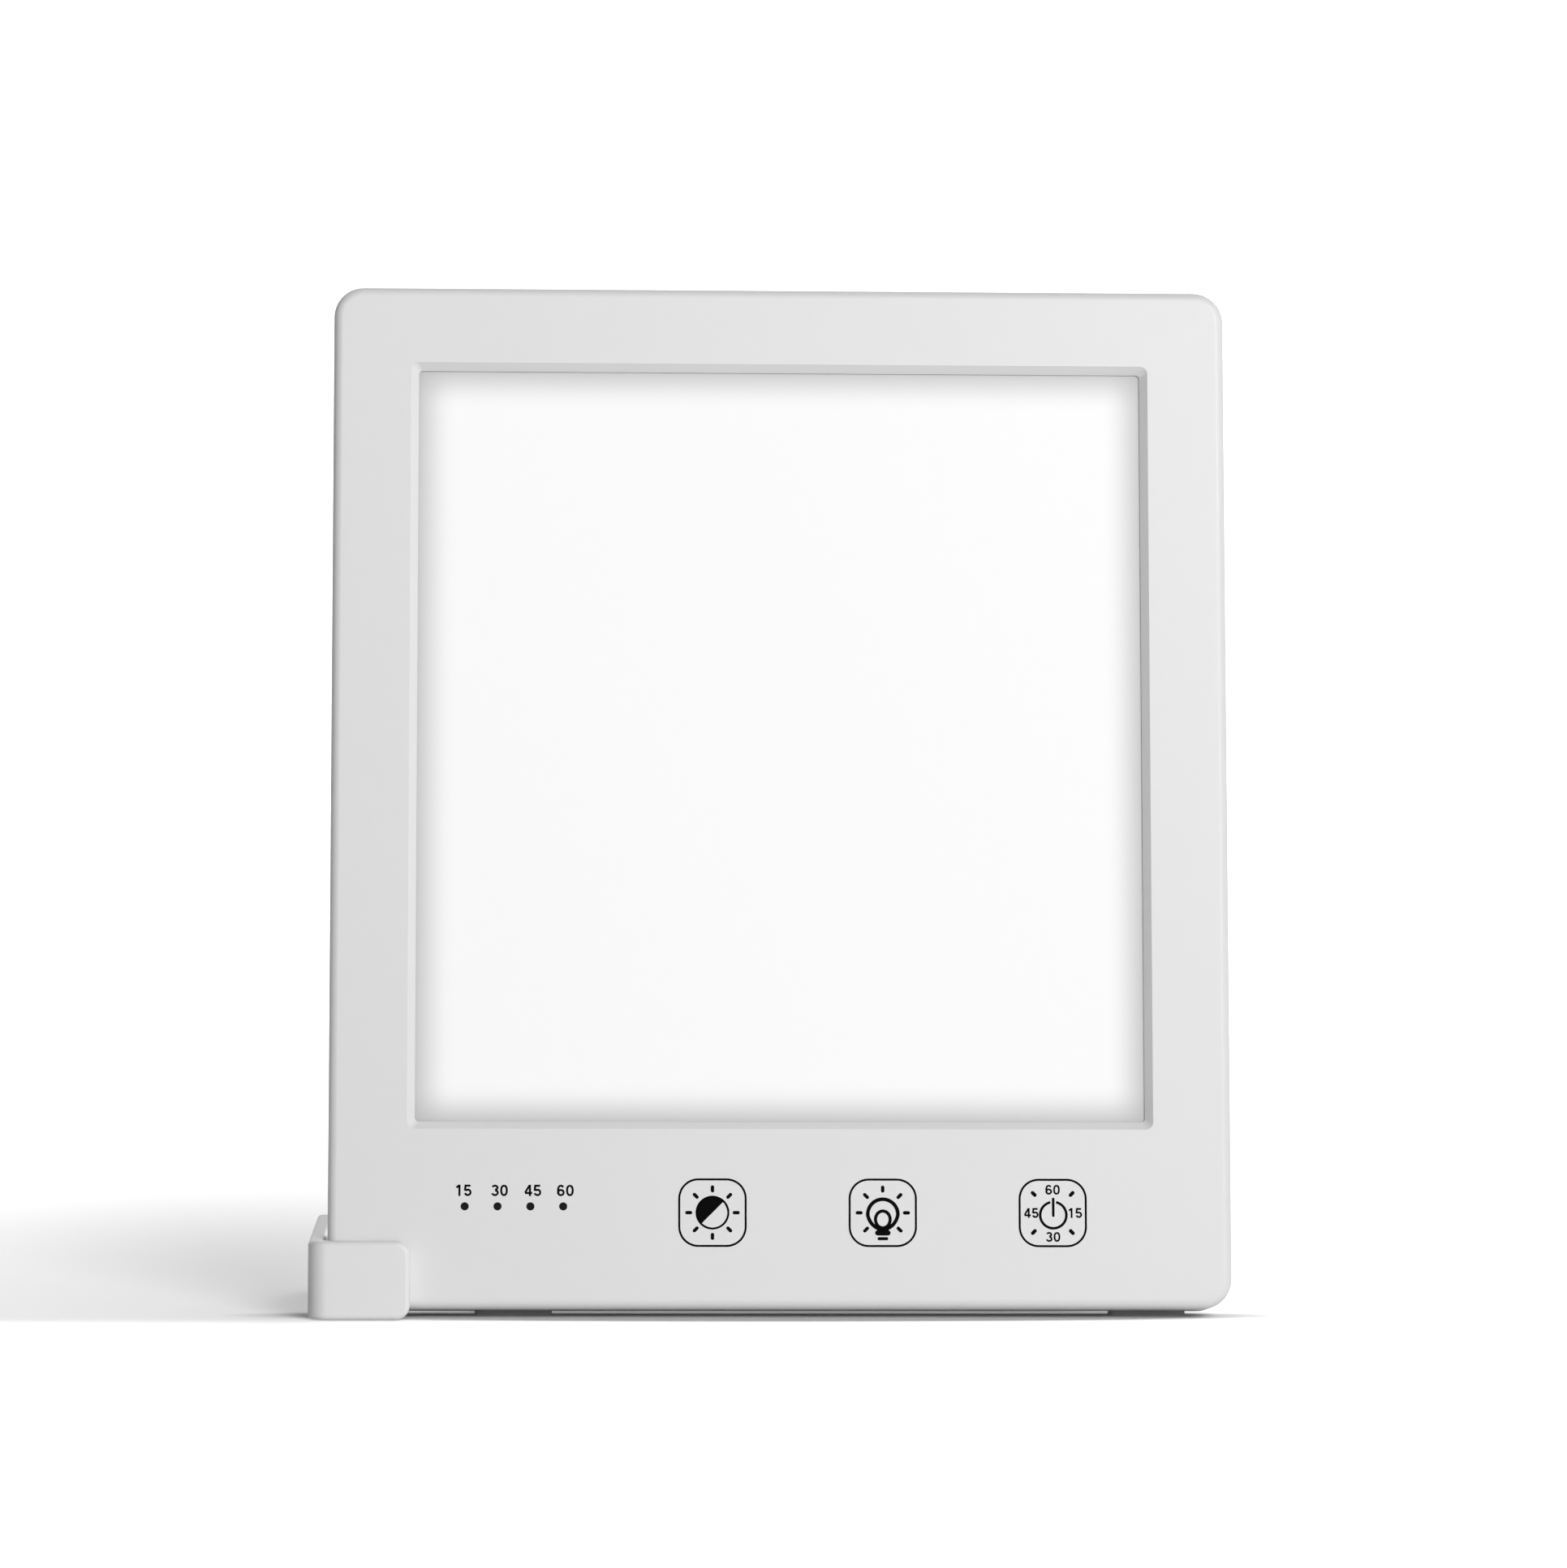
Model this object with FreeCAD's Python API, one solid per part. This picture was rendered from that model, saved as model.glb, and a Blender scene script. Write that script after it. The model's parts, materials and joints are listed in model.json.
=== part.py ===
import FreeCAD, Part
import math
import os
from FreeCAD import Vector

# A slim flat light panel that leans back on an L-shaped swing foot.
# All sizes are in millimetres. Each panel piece is drawn upright in the panel's own
# frame: X to the right, Y from the front face to the back, Z up from the bottom edge.
# The whole panel is then leaned back and set on its rubber feet.

# Panel casing
PANEL_WIDTH = 210.0
PANEL_HEIGHT = 240.0
PANEL_DEPTH = 16.0
CORNER_RADIUS = 7.0
FRONT_EDGE_RADIUS = 2.2
REAR_EDGE_RADIUS = 1.5
WALL = 2.0
SPLIT_DEPTH = 10.0
LIP_DEPTH = 1.5
LIP_WALL = 1.2
LIP_CLEARANCE = 0.15
LEAN_DEG = 8.0

# Window in the front casing
WINDOW_SIDE = 18.2
WINDOW_TOP = 18.0
WINDOW_BOTTOM = 41.6
WINDOW_RADIUS = 1.8
BEVEL_WIDTH = 1.8

# Light stack behind the window
GASKET_THICKNESS = 0.4
GASKET_WIDTH = 2.6
GASKET_SETBACK = 0.5
DIFFUSER_THICKNESS = 2.0
DIFFUSER_OVERLAP = 4.0
FILM_THICKNESS = 0.3
POCKET_CLEARANCE = 0.2
POCKET_RIB = 1.2
POCKET_RIB_DEPTH = 3.0
TRAY_WALL = 0.5
TRAY_SLOPE = 3.5
TRAY_FLANGE = 2.0
LED_BOARD_THICKNESS = 1.2
LED_POST_HEIGHT = 1.8
LED_BOARD_TAIL = 4.6
LED_COLUMNS = 9
LED_ROWS = 9
LED_EDGE_SPACE = 11.5
LED_WIDTH = 2.8
LED_LENGTH = 3.5
LED_HEIGHT = 0.8
LED_HOLE_RADIUS = 2.6

# Swing foot at the lower left corner
FOOT_WALL = 4.0
FOOT_GAP = 0.4
FOOT_HEIGHT = 18.2
NOTCH_OVERLAP = 0.2
LEG_LENGTH = 76.0
TAB_REACH = 19.2
TAB_CORNER_RADIUS = 3.3
FOOT_EDGE_RADIUS = 1.1
FOLD_RADIUS = 4.4
FOLD_INNER_RADIUS = 1.0
KNUCKLE_CLEARANCE = 0.4
NOTCH_CLEARANCE = 0.9
PAD_DROP = 0.3
PAD_INSET = 0.7
PAD_LENGTH = 12.0
PAD_SIDE = 0.6

# Hinge of the foot, along the panel's left edge
PIN_RADIUS = 2.0
PIN_CLEARANCE = 0.05
PIN_HEAD_RADIUS = 3.4
PIN_HEAD_HEIGHT = 1.2
LUG_THICKNESS = 3.2
WASHER_RADIUS = 5.0
FRICTION_WASHER = 0.5
WAVE_WASHER = 0.6
SEAT_HEIGHT = 15.9
HINGE_BOSS_RADIUS = 4.2
BOSS_TOP = 21.2
BUSH_WALL = 1.2
BRACKET_THICKNESS = 1.2
BRACKET_WIDTH = 11.0
BRACKET_HEIGHT = 12.0
BRACKET_POST = 1.4
CLIP_THICKNESS = 0.6
CLIP_GROOVE = 0.4
CLIP_RADIUS = 3.2
PIN_TAIL = 1.2

# Boards and controls below the window
BOARD_THICKNESS = 1.2
BOARD_CORNER_RADIUS = 1.0
BOARD_SCREW_MARGIN = 0.9
CONTROL_POST = 2.2
CONTROL_SIDE = 25.0
CONTROL_END = 6.8
CONTROL_LOW = 11.0
CONTROL_HIGH = 35.0
TOUCH_HEIGHT = 22.2
TOUCH_SIDE = 41.8
TOUCH_PITCH = 39.55
TOUCH_COUNT = 3
TOUCH_PAD_RADIUS = 6.0
LAMP_HEIGHT = 23.6
LAMP_FIRST = 31.7
LAMP_PITCH = 7.6
LAMP_COUNT = 4
LAMP_RADIUS = 0.95
LAMP_FLANGE = 0.7
LAMP_FLANGE_DEPTH = 0.6
LAMP_LED_GAP = 0.3
LAMP_LED_WIDTH = 1.6
LAMP_LED_HEIGHT = 1.2
DRIVER_POST = 3.2
DRIVER_SIDE_CLEARANCE = 2.0
DRIVER_LENGTH = 75.0
DRIVER_SCREW_INSET = 37.5
DRIVER_LOW = 14.0
DRIVER_HIGH = 33.5
LEAD_RADIUS = 0.65
LEAD_PITCH = 2.4
LEAD_INSET = 20.0
LEAD_STAND = 1.0
LEAD_PLUG_DROP = 7.0
LEAD_SOCKET_LENGTH = 3.4
LEAD_SOCKET_FRONT = 1.2
LEAD_SOCKET_MARGIN = 1.8
LEAD_SOCKET_RISE = 0.6
RIBBON_RADIUS = 0.5
RIBBON_PITCH = 2.0
RIBBON_WIRES = 4
RIBBON_DROP = 3.0
RIBBON_REACH = 14.0
RIBBON_INSET = 1.0
RIBBON_STAND = 1.5
PLUG_LENGTH = 5.0
PLUG_DEPTH = 2.6
PLUG_MARGIN = 1.4

# Blocks on the boards: from the board's left and low edges, then width, height, depth
TOUCH_CHIP = (36.0, 6.0, 10.0, 10.0, 1.6)
CRYSTAL = (52.0, 7.0, 3.5, 5.0, 1.3)
CHIP_CAPACITOR = (14.0, 15.0, 1.6, 0.9, 0.8)
CHIP_CAPACITOR_PITCH = 3.2
CHIP_CAPACITOR_COUNT = 6
FIELD_RESISTOR_RISE = 8.0
FIELD_RESISTOR_WIDTH = 2.0
FIELD_RESISTOR_HEIGHT = 1.2
FIELD_RESISTOR_DEPTH = 0.6
COIL_BASE = (30.0, 5.5, 10.0, 10.0, 1.0)
COIL_RADIUS = 4.4
COIL_DEPTH = 3.4
POWER_CHIP = (42.5, 2.5, 6.0, 5.0, 1.4)
TRANSISTOR = (22.0, 2.0, 5.0, 4.0, 1.2)
CAN_PLACES = ((46.0, 11.8), (53.0, 8.0))
CAN_RADIUS = 2.5
CAN_DEPTH = 3.6

# Power inlet in the right side wall
INLET_HEIGHT = 24.0
INLET_BODY_LENGTH = 12.0
INLET_BODY_WIDTH = 9.0
INLET_BODY_DEPTH = 7.2
INLET_SNOUT_RADIUS = 3.4
INLET_BORE_RADIUS = 2.8
INLET_BORE_DEPTH = 9.5
INLET_PIN_RADIUS = 1.0
INLET_HOLE_CLEARANCE = 0.1

# Screws
COVER_SCREW_EDGE = 8.5
COVER_SCREW_RADIUS = 1.25
COVER_HEAD_RADIUS = 2.4
COVER_HEAD_HEIGHT = 1.6
COVER_WELL_RADIUS = 2.9
COVER_WELL_DEPTH = 3.4
COVER_BOSS_RADIUS = 3.5
COVER_BOSS_MEET = 8.0
COVER_SCREW_LENGTH = 7.4
SMALL_SCREW_RADIUS = 0.9
SMALL_HEAD_RADIUS = 1.8
SMALL_HEAD_HEIGHT = 1.1
SMALL_POST_RADIUS = 2.3
SMALL_SCREW_LENGTH = 2.9
SCREW_CROSS_WIDTH = 0.5

# Vents in the rear cover and the rubber feet under it
VENT_COUNT = 13
VENT_PITCH = 5.0
VENT_WIDTH = 1.6
VENT_LENGTH = 16.0
VENT_LOW = 62.0
VENT_HIGH = 196.0
BASE_FOOT_RISE = 0.35
BASE_FOOT_RECESS = 0.9
BASE_FOOT_LENGTH = 18.0
BASE_FOOT_FRONT = 10.6
BASE_FOOT_BACK = 14.6
BASE_FOOT_LEFT = 43.0
BASE_FOOT_RIGHT = 19.0
BASE_FOOT_RADIUS = 1.6
BASE_FOOT_DROP = 3.0
BASE_FOOT_CLEARANCE = 0.02

# Worked-out places
LEAN = math.radians(LEAN_DEG)
LIFT = BASE_FOOT_RISE + PANEL_DEPTH * math.sin(LEAN)
HALF_WIDTH = PANEL_WIDTH / 2
REAR_INSIDE = PANEL_DEPTH - WALL
WINDOW_LEFT = -HALF_WIDTH + WINDOW_SIDE
WINDOW_RIGHT = HALF_WIDTH - WINDOW_SIDE
WINDOW_LOW = WINDOW_BOTTOM
WINDOW_HIGH = PANEL_HEIGHT - WINDOW_TOP
DIFFUSER_FRONT = WALL + GASKET_THICKNESS
FILM_FRONT = DIFFUSER_FRONT + DIFFUSER_THICKNESS
TRAY_FRONT = FILM_FRONT + FILM_THICKNESS
LED_BOARD_BACK = REAR_INSIDE - LED_POST_HEIGHT
LED_BOARD_FRONT = LED_BOARD_BACK - LED_BOARD_THICKNESS
CONTROL_FRONT = WALL + CONTROL_POST
CONTROL_BACK = CONTROL_FRONT + BOARD_THICKNESS
DRIVER_BACK = REAR_INSIDE - DRIVER_POST
DRIVER_FRONT = DRIVER_BACK - BOARD_THICKNESS
DRIVER_RIGHT = HALF_WIDTH - WALL - DRIVER_SIDE_CLEARANCE
DRIVER_LEFT = DRIVER_RIGHT - DRIVER_LENGTH
CONTROL_LEFT = -HALF_WIDTH + CONTROL_SIDE
CONTROL_RIGHT = HALF_WIDTH - TOUCH_SIDE + TOUCH_PAD_RADIUS + CONTROL_END
RIBBON_START = DRIVER_LEFT - RIBBON_REACH
RIBBON_END = DRIVER_LEFT + RIBBON_INSET
RIBBON_NEAR = CONTROL_BACK + RIBBON_STAND
RIBBON_FAR = DRIVER_FRONT - RIBBON_STAND
LEAD_DEPTH = DRIVER_FRONT - LEAD_STAND
LEAD_LOW = DRIVER_HIGH - LEAD_PLUG_DROP
LEAD_HIGH = WINDOW_LOW + BEVEL_WIDTH - DIFFUSER_OVERLAP - LED_BOARD_TAIL + LEAD_SOCKET_RISE
INLET_AXIS_Y = DRIVER_FRONT - INLET_BODY_DEPTH / 2
PIVOT_X = -HALF_WIDTH + PANEL_DEPTH / 2
PIVOT_Y = PANEL_DEPTH / 2
KNUCKLE_RADIUS = PANEL_DEPTH / 2 - KNUCKLE_CLEARANCE
NOTCH_RIGHT = PIVOT_X + KNUCKLE_RADIUS + NOTCH_CLEARANCE
KNUCKLE_LOW = LUG_THICKNESS + FRICTION_WASHER
KNUCKLE_HIGH = SEAT_HEIGHT - WAVE_WASHER
BUSH_RADIUS = PIN_RADIUS + PIN_CLEARANCE + BUSH_WALL
CLIP_LOW = BOSS_TOP + BRACKET_THICKNESS
FAR = 400.0


def box(x0, x1, y0, y1, z0, z1):
    return Part.makeBox(x1 - x0, y1 - y0, z1 - z0, Vector(x0, y0, z0))


def rod_y(x, z, radius, y0, y1):
    """A round bar from front to back."""
    return Part.makeCylinder(radius, y1 - y0, Vector(x, y0, z), Vector(0, 1, 0))


def rod_z(x, y, radius, z0, z1):
    """A round bar along the panel's height."""
    return Part.makeCylinder(radius, z1 - z0, Vector(x, y, z0), Vector(0, 0, 1))


def rod_x(y, z, radius, x0, x1):
    """A round bar across the panel."""
    return Part.makeCylinder(radius, x1 - x0, Vector(x0, y, z), Vector(1, 0, 0))


def rounded_wire(x0, x1, z0, z1, radius, y):
    """A rectangle with round corners, upright at depth y."""
    r = min(radius, (x1 - x0) / 2.01, (z1 - z0) / 2.01)
    h = r * math.sqrt(0.5)
    edges = []
    corners = [(x1 - r, z0 + r, 1, -1), (x1 - r, z1 - r, 1, 1),
               (x0 + r, z1 - r, -1, 1), (x0 + r, z0 + r, -1, -1)]
    ends = []
    for cx, cz, sx, sz in corners:
        low = Vector(cx, y, cz + sz * r)
        side = Vector(cx + sx * r, y, cz)
        middle = Vector(cx + sx * h, y, cz + sz * h)
        first, last = (low, side) if sx * sz < 0 else (side, low)
        ends.append((first, middle, last))
    for index, (first, middle, last) in enumerate(ends):
        edges.append(Part.Arc(first, middle, last).toShape())
        following = ends[(index + 1) % 4][0]
        edges.append(Part.LineSegment(last, following).toShape())
    return Part.Wire(edges)


def plate(x0, x1, z0, z1, radius, y0, y1):
    """An upright plate with round corners between depths y0 and y1."""
    face = Part.Face(rounded_wire(x0, x1, z0, z1, radius, y0))
    return face.extrude(Vector(0, y1 - y0, 0))


def fuse_all(shapes):
    result = shapes[0]
    if len(shapes) > 1:
        result = result.fuse(shapes[1:])
    return result.removeSplitter()


def lean_back(shape):
    """Turns a piece of the upright panel to its place in the standing lamp."""
    moved = shape.copy()
    moved.rotate(Vector(0, 0, 0), Vector(1, 0, 0), -LEAN_DEG)
    moved.translate(Vector(0, 0, LIFT))
    return moved


def level_in_panel(height, y):
    """The panel's own Z, at depth y, of a level plane at this height over the floor."""
    return (height + y * math.sin(LEAN) - LIFT) / math.cos(LEAN)


def notch(grow):
    """The space of the foot's knuckle: a level ceiling just below the top of the tab."""
    near = -5.0
    far = PANEL_DEPTH + 5.0
    low = -20.0
    rise = grow / math.cos(LEAN)
    ceiling = FOOT_HEIGHT - NOTCH_OVERLAP
    x0 = -HALF_WIDTH - 20.0
    points = [Vector(x0, near, low), Vector(x0, far, low),
              Vector(x0, far, level_in_panel(ceiling, far) + rise),
              Vector(x0, near, level_in_panel(ceiling, near) + rise),
              Vector(x0, near, low)]
    face = Part.Face(Part.makePolygon(points))
    return face.extrude(Vector(NOTCH_RIGHT + grow - x0, 0, 0))


def casing_block(inset, y0, y1):
    """The casing's outline, drawn in by inset, with the notch for the knuckle."""
    radius = max(CORNER_RADIUS - inset, 0.6)
    block = plate(-HALF_WIDTH + inset, HALF_WIDTH - inset, inset, PANEL_HEIGHT - inset,
                  radius, y0, y1)
    return block.cut(notch(inset))


def edges_at_depth(shape, y):
    """The edges that lie wholly at depth y."""
    found = []
    for edge in shape.Edges:
        bounds = edge.BoundBox
        if abs(bounds.YMin - y) < 1e-6 and abs(bounds.YMax - y) < 1e-6:
            found.append(edge)
    return found


def cover_screw_places():
    left = -HALF_WIDTH + COVER_SCREW_EDGE
    right = HALF_WIDTH - COVER_SCREW_EDGE
    high = PANEL_HEIGHT - COVER_SCREW_EDGE
    middle = PANEL_HEIGHT * 0.56
    lower_left = BOSS_TOP + BRACKET_HEIGHT + COVER_SCREW_EDGE
    return [(left, lower_left), (left, middle), (left, high),
            (right, COVER_SCREW_EDGE), (right, middle), (right, high),
            (0.0, COVER_BOSS_RADIUS + WALL + 1.2)]


def control_screw_places():
    edge = SMALL_POST_RADIUS + BOARD_SCREW_MARGIN
    return [(x, z) for x in (CONTROL_LEFT + edge, CONTROL_RIGHT - edge)
            for z in (CONTROL_LOW + edge, CONTROL_HIGH - edge)]


def driver_screw_places():
    edge = SMALL_POST_RADIUS + BOARD_SCREW_MARGIN
    return [(DRIVER_LEFT + edge, DRIVER_HIGH - edge),
            (DRIVER_LEFT + DRIVER_SCREW_INSET, DRIVER_LOW + edge),
            (DRIVER_RIGHT - INLET_BODY_LENGTH - edge, DRIVER_HIGH - edge)]


def bracket_screw_places():
    z = BOSS_TOP + BRACKET_HEIGHT * 0.68
    return [(PIVOT_X + side * BRACKET_WIDTH * 0.28, z) for side in (-1, 1)]


def touch_places():
    last = HALF_WIDTH - TOUCH_SIDE
    return [last - TOUCH_PITCH * (TOUCH_COUNT - 1 - index) for index in range(TOUCH_COUNT)]


def lamp_places():
    return [-HALF_WIDTH + LAMP_FIRST + LAMP_PITCH * index for index in range(LAMP_COUNT)]


def light_area():
    """Left, right, low and high of the opening at the inner end of the bevel."""
    return (WINDOW_LEFT + BEVEL_WIDTH, WINDOW_RIGHT - BEVEL_WIDTH,
            WINDOW_LOW + BEVEL_WIDTH, WINDOW_HIGH - BEVEL_WIDTH)


def diffuser_area():
    left, right, low, high = light_area()
    return (left - DIFFUSER_OVERLAP, right + DIFFUSER_OVERLAP,
            low - DIFFUSER_OVERLAP, high + DIFFUSER_OVERLAP)


def led_places():
    left, right, low, high = light_area()
    step_x = (right - left - 2 * LED_EDGE_SPACE) / (LED_COLUMNS - 1)
    step_z = (high - low - 2 * LED_EDGE_SPACE) / (LED_ROWS - 1)
    return [(left + LED_EDGE_SPACE + step_x * column, low + LED_EDGE_SPACE + step_z * row)
            for column in range(LED_COLUMNS) for row in range(LED_ROWS)]


def led_screw_places():
    """Board screws halfway between rows and columns of light packages."""
    left, right, low, high = light_area()
    step_x = (right - left - 2 * LED_EDGE_SPACE) / (LED_COLUMNS - 1)
    step_z = (high - low - 2 * LED_EDGE_SPACE) / (LED_ROWS - 1)
    columns = (0.5, LED_COLUMNS - 1.5)
    rows = (0.5, (LED_ROWS - 1) // 2 + 0.5, LED_ROWS - 1.5)
    return [(left + LED_EDGE_SPACE + step_x * column, low + LED_EDGE_SPACE + step_z * row)
            for column in columns for row in rows]


def hinge_boss():
    return rod_z(PIVOT_X, PIVOT_Y, HINGE_BOSS_RADIUS, SEAT_HEIGHT, BOSS_TOP)


def window_cut():
    outer = rounded_wire(WINDOW_LEFT, WINDOW_RIGHT, WINDOW_LOW, WINDOW_HIGH,
                         WINDOW_RADIUS, 0.0)
    left, right, low, high = light_area()
    inner = rounded_wire(left, right, low, high, WINDOW_RADIUS * 0.5, WALL)
    return Part.makeLoft([outer, inner], True, True)


def pocket_ribs():
    """A low frame behind the window that locates the diffuser and its film."""
    left, right, low, high = diffuser_area()
    c = POCKET_CLEARANCE
    w = POCKET_CLEARANCE + POCKET_RIB
    y1 = WALL + POCKET_RIB_DEPTH
    outer = plate(left - w, right + w, low - w, high + w, 1.0, WALL, y1)
    inner = plate(left - c, right + c, low - c, high + c, 0.6, WALL - 1.0, y1 + 1.0)
    return outer.cut(inner)


def make_front_bezel():
    block = plate(-HALF_WIDTH, HALF_WIDTH, 0.0, PANEL_HEIGHT, CORNER_RADIUS, 0.0, SPLIT_DEPTH)
    block = block.makeFillet(FRONT_EDGE_RADIUS, edges_at_depth(block, 0.0))
    shell = block.cut([notch(0.0), casing_block(WALL, WALL, SPLIT_DEPTH + 1.0), window_cut()])
    parts = [shell, pocket_ribs()]
    for x, z in cover_screw_places():
        parts.append(rod_y(x, z, COVER_BOSS_RADIUS, WALL, COVER_BOSS_MEET))
    for x, z in control_screw_places():
        parts.append(rod_y(x, z, SMALL_POST_RADIUS, WALL, CONTROL_FRONT))
    for x, z in bracket_screw_places():
        parts.append(rod_y(x, z, SMALL_POST_RADIUS, WALL, WALL + BRACKET_POST))
    parts.append(hinge_boss())
    lug = rod_z(PIVOT_X, PIVOT_Y, KNUCKLE_RADIUS, 0.0, LUG_THICKNESS)
    web = box(PIVOT_X, NOTCH_RIGHT + WALL, WALL / 2, SPLIT_DEPTH, 0.0, LUG_THICKNESS)
    parts += [lug, web]
    body = fuse_all(parts)
    cuts = [rod_z(PIVOT_X, PIVOT_Y, PIN_RADIUS, -1.0, BOSS_TOP + 1.0)]
    cuts.append(rod_z(PIVOT_X, PIVOT_Y, PIN_HEAD_RADIUS + 0.1, -1.0, PIN_HEAD_HEIGHT + 0.2))
    for x, z in cover_screw_places():
        cuts.append(rod_y(x, z, COVER_SCREW_RADIUS, WALL + 1.0, COVER_BOSS_MEET + 1.0))
    for x, z in control_screw_places():
        cuts.append(rod_y(x, z, SMALL_SCREW_RADIUS, WALL + 0.3, CONTROL_FRONT + 1.0))
    bracket_tip = WALL + BRACKET_POST + BRACKET_THICKNESS - SMALL_SCREW_LENGTH - 0.1
    for x, z in bracket_screw_places():
        cuts.append(rod_y(x, z, SMALL_SCREW_RADIUS, bracket_tip, WALL + BRACKET_POST + 1.0))
    for x in lamp_places():
        cuts.append(rod_y(x, LAMP_HEIGHT, LAMP_RADIUS, -1.0, WALL + 1.0))
    snout = INLET_SNOUT_RADIUS + INLET_HOLE_CLEARANCE
    cuts.append(rod_x(INLET_AXIS_Y, INLET_HEIGHT, snout, HALF_WIDTH - WALL - 1.0, HALF_WIDTH + 1.0))
    return body.cut(cuts)


def make_rear_cover():
    block = plate(-HALF_WIDTH, HALF_WIDTH, 0.0, PANEL_HEIGHT, CORNER_RADIUS,
                  SPLIT_DEPTH, PANEL_DEPTH)
    block = block.makeFillet(REAR_EDGE_RADIUS, edges_at_depth(block, PANEL_DEPTH))
    shell = block.cut([notch(0.0), casing_block(WALL, SPLIT_DEPTH - 1.0, REAR_INSIDE)])
    lip_outer = casing_block(WALL + LIP_CLEARANCE, SPLIT_DEPTH - LIP_DEPTH, REAR_INSIDE)
    lip_root = casing_block(WALL - 0.5, SPLIT_DEPTH, REAR_INSIDE)
    inner = casing_block(WALL + LIP_CLEARANCE + LIP_WALL, SPLIT_DEPTH - LIP_DEPTH - 1.0,
                         REAR_INSIDE)
    lip = fuse_all([lip_outer, lip_root]).cut(inner)
    parts = [shell, lip]
    for x, z in cover_screw_places():
        parts.append(rod_y(x, z, COVER_BOSS_RADIUS, COVER_BOSS_MEET, REAR_INSIDE))
    for x, z in led_screw_places():
        parts.append(rod_y(x, z, SMALL_POST_RADIUS, LED_BOARD_BACK, REAR_INSIDE))
    for x, z in driver_screw_places():
        parts.append(rod_y(x, z, SMALL_POST_RADIUS, DRIVER_BACK, REAR_INSIDE))
    body = fuse_all(parts)
    boss_space = HINGE_BOSS_RADIUS + 0.3
    cuts = [rod_z(PIVOT_X, PIVOT_Y, boss_space, SEAT_HEIGHT - 1.0, BOSS_TOP)]
    half = BRACKET_WIDTH / 2 + 0.5
    bracket_back = PIVOT_Y + HINGE_BOSS_RADIUS + 0.5
    cuts.append(box(PIVOT_X - half, PIVOT_X + half, WALL, bracket_back,
                    BOSS_TOP - 1.5, BOSS_TOP + BRACKET_HEIGHT + 1.0))
    lip_low = SPLIT_DEPTH - LIP_DEPTH - 1.0
    cuts.append(box(-HALF_WIDTH + WALL, NOTCH_RIGHT + WALL + LIP_CLEARANCE + LIP_WALL + 0.5,
                    lip_low, SPLIT_DEPTH, 0.0, BOSS_TOP + 1.5))
    inlet = INLET_BODY_WIDTH / 2 + 0.6
    cuts.append(box(DRIVER_RIGHT - INLET_BODY_LENGTH, HALF_WIDTH - WALL, lip_low,
                    DRIVER_BACK + 0.2, INLET_HEIGHT - inlet, INLET_HEIGHT + inlet))
    for x, z in cover_screw_places():
        cuts.append(rod_y(x, z, COVER_SCREW_RADIUS, COVER_BOSS_MEET - 1.0, PANEL_DEPTH + 1.0))
        cuts.append(rod_y(x, z, COVER_WELL_RADIUS, PANEL_DEPTH - COVER_WELL_DEPTH,
                          PANEL_DEPTH + 1.0))
    for x, z in led_screw_places() + driver_screw_places():
        cuts.append(rod_y(x, z, SMALL_SCREW_RADIUS, DRIVER_BACK - 1.0, REAR_INSIDE + WALL / 2))
    for low in (VENT_LOW, VENT_HIGH):
        for index in range(VENT_COUNT):
            x = (index - (VENT_COUNT - 1) / 2) * VENT_PITCH
            cuts.append(plate(x - VENT_WIDTH / 2, x + VENT_WIDTH / 2, low, low + VENT_LENGTH,
                              VENT_WIDTH / 2.05, REAR_INSIDE - 1.0, PANEL_DEPTH + 1.0))
    for x in base_foot_places():
        cuts.append(base_foot_block(x, 0.0))
    return body.cut(cuts)


def base_foot_places():
    return [-HALF_WIDTH + BASE_FOOT_LEFT, HALF_WIDTH - BASE_FOOT_RIGHT]


def base_foot_block(x, inset):
    """One rubber foot as a block that reaches below the floor, in the panel's frame."""
    half = BASE_FOOT_LENGTH / 2 - inset
    block = box(x - half, x + half, BASE_FOOT_FRONT + inset, BASE_FOOT_BACK - inset,
                -BASE_FOOT_DROP, BASE_FOOT_RECESS)
    uprights = [edge for edge in block.Edges
                if abs(edge.BoundBox.ZLength - (BASE_FOOT_RECESS + BASE_FOOT_DROP)) < 1e-6]
    return block.makeFillet(BASE_FOOT_RADIUS, uprights)


def make_base_feet():
    """Two rubber feet under the rear cover, cut level where they meet the floor."""
    floor = box(-FAR, FAR, -FAR, FAR, -FAR, 0.0)
    feet = [lean_back(base_foot_block(x, BASE_FOOT_CLEARANCE)).cut(floor)
            for x in base_foot_places()]
    return Part.makeCompound(feet)


def make_window_gasket():
    left, right, low, high = light_area()
    s = GASKET_SETBACK
    w = GASKET_SETBACK + GASKET_WIDTH
    outer = plate(left - w, right + w, low - w, high + w, 1.5, WALL, DIFFUSER_FRONT)
    inner = plate(left - s, right + s, low - s, high + s, 1.0, WALL - 1.0, DIFFUSER_FRONT + 1.0)
    return outer.cut(inner)


def make_diffuser_plate():
    left, right, low, high = diffuser_area()
    return plate(left, right, low, high, 0.8, DIFFUSER_FRONT, FILM_FRONT)


def make_diffusing_film():
    left, right, low, high = diffuser_area()
    return plate(left + 0.5, right - 0.5, low + 0.5, high - 0.5, 0.8, FILM_FRONT, TRAY_FRONT)


def tray_frustum(inset, y0, y1):
    """A shallow tub that narrows towards the back, drawn in by inset."""
    left, right, low, high = light_area()
    a = 1.6 - inset
    b = 1.6 - inset - TRAY_SLOPE
    front = rounded_wire(left - a, right + a, low - a, high + a, 2.5, y0)
    back = rounded_wire(left - b, right + b, low - b, high + b, 2.5, y1)
    return Part.makeLoft([front, back], True, True)


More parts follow.
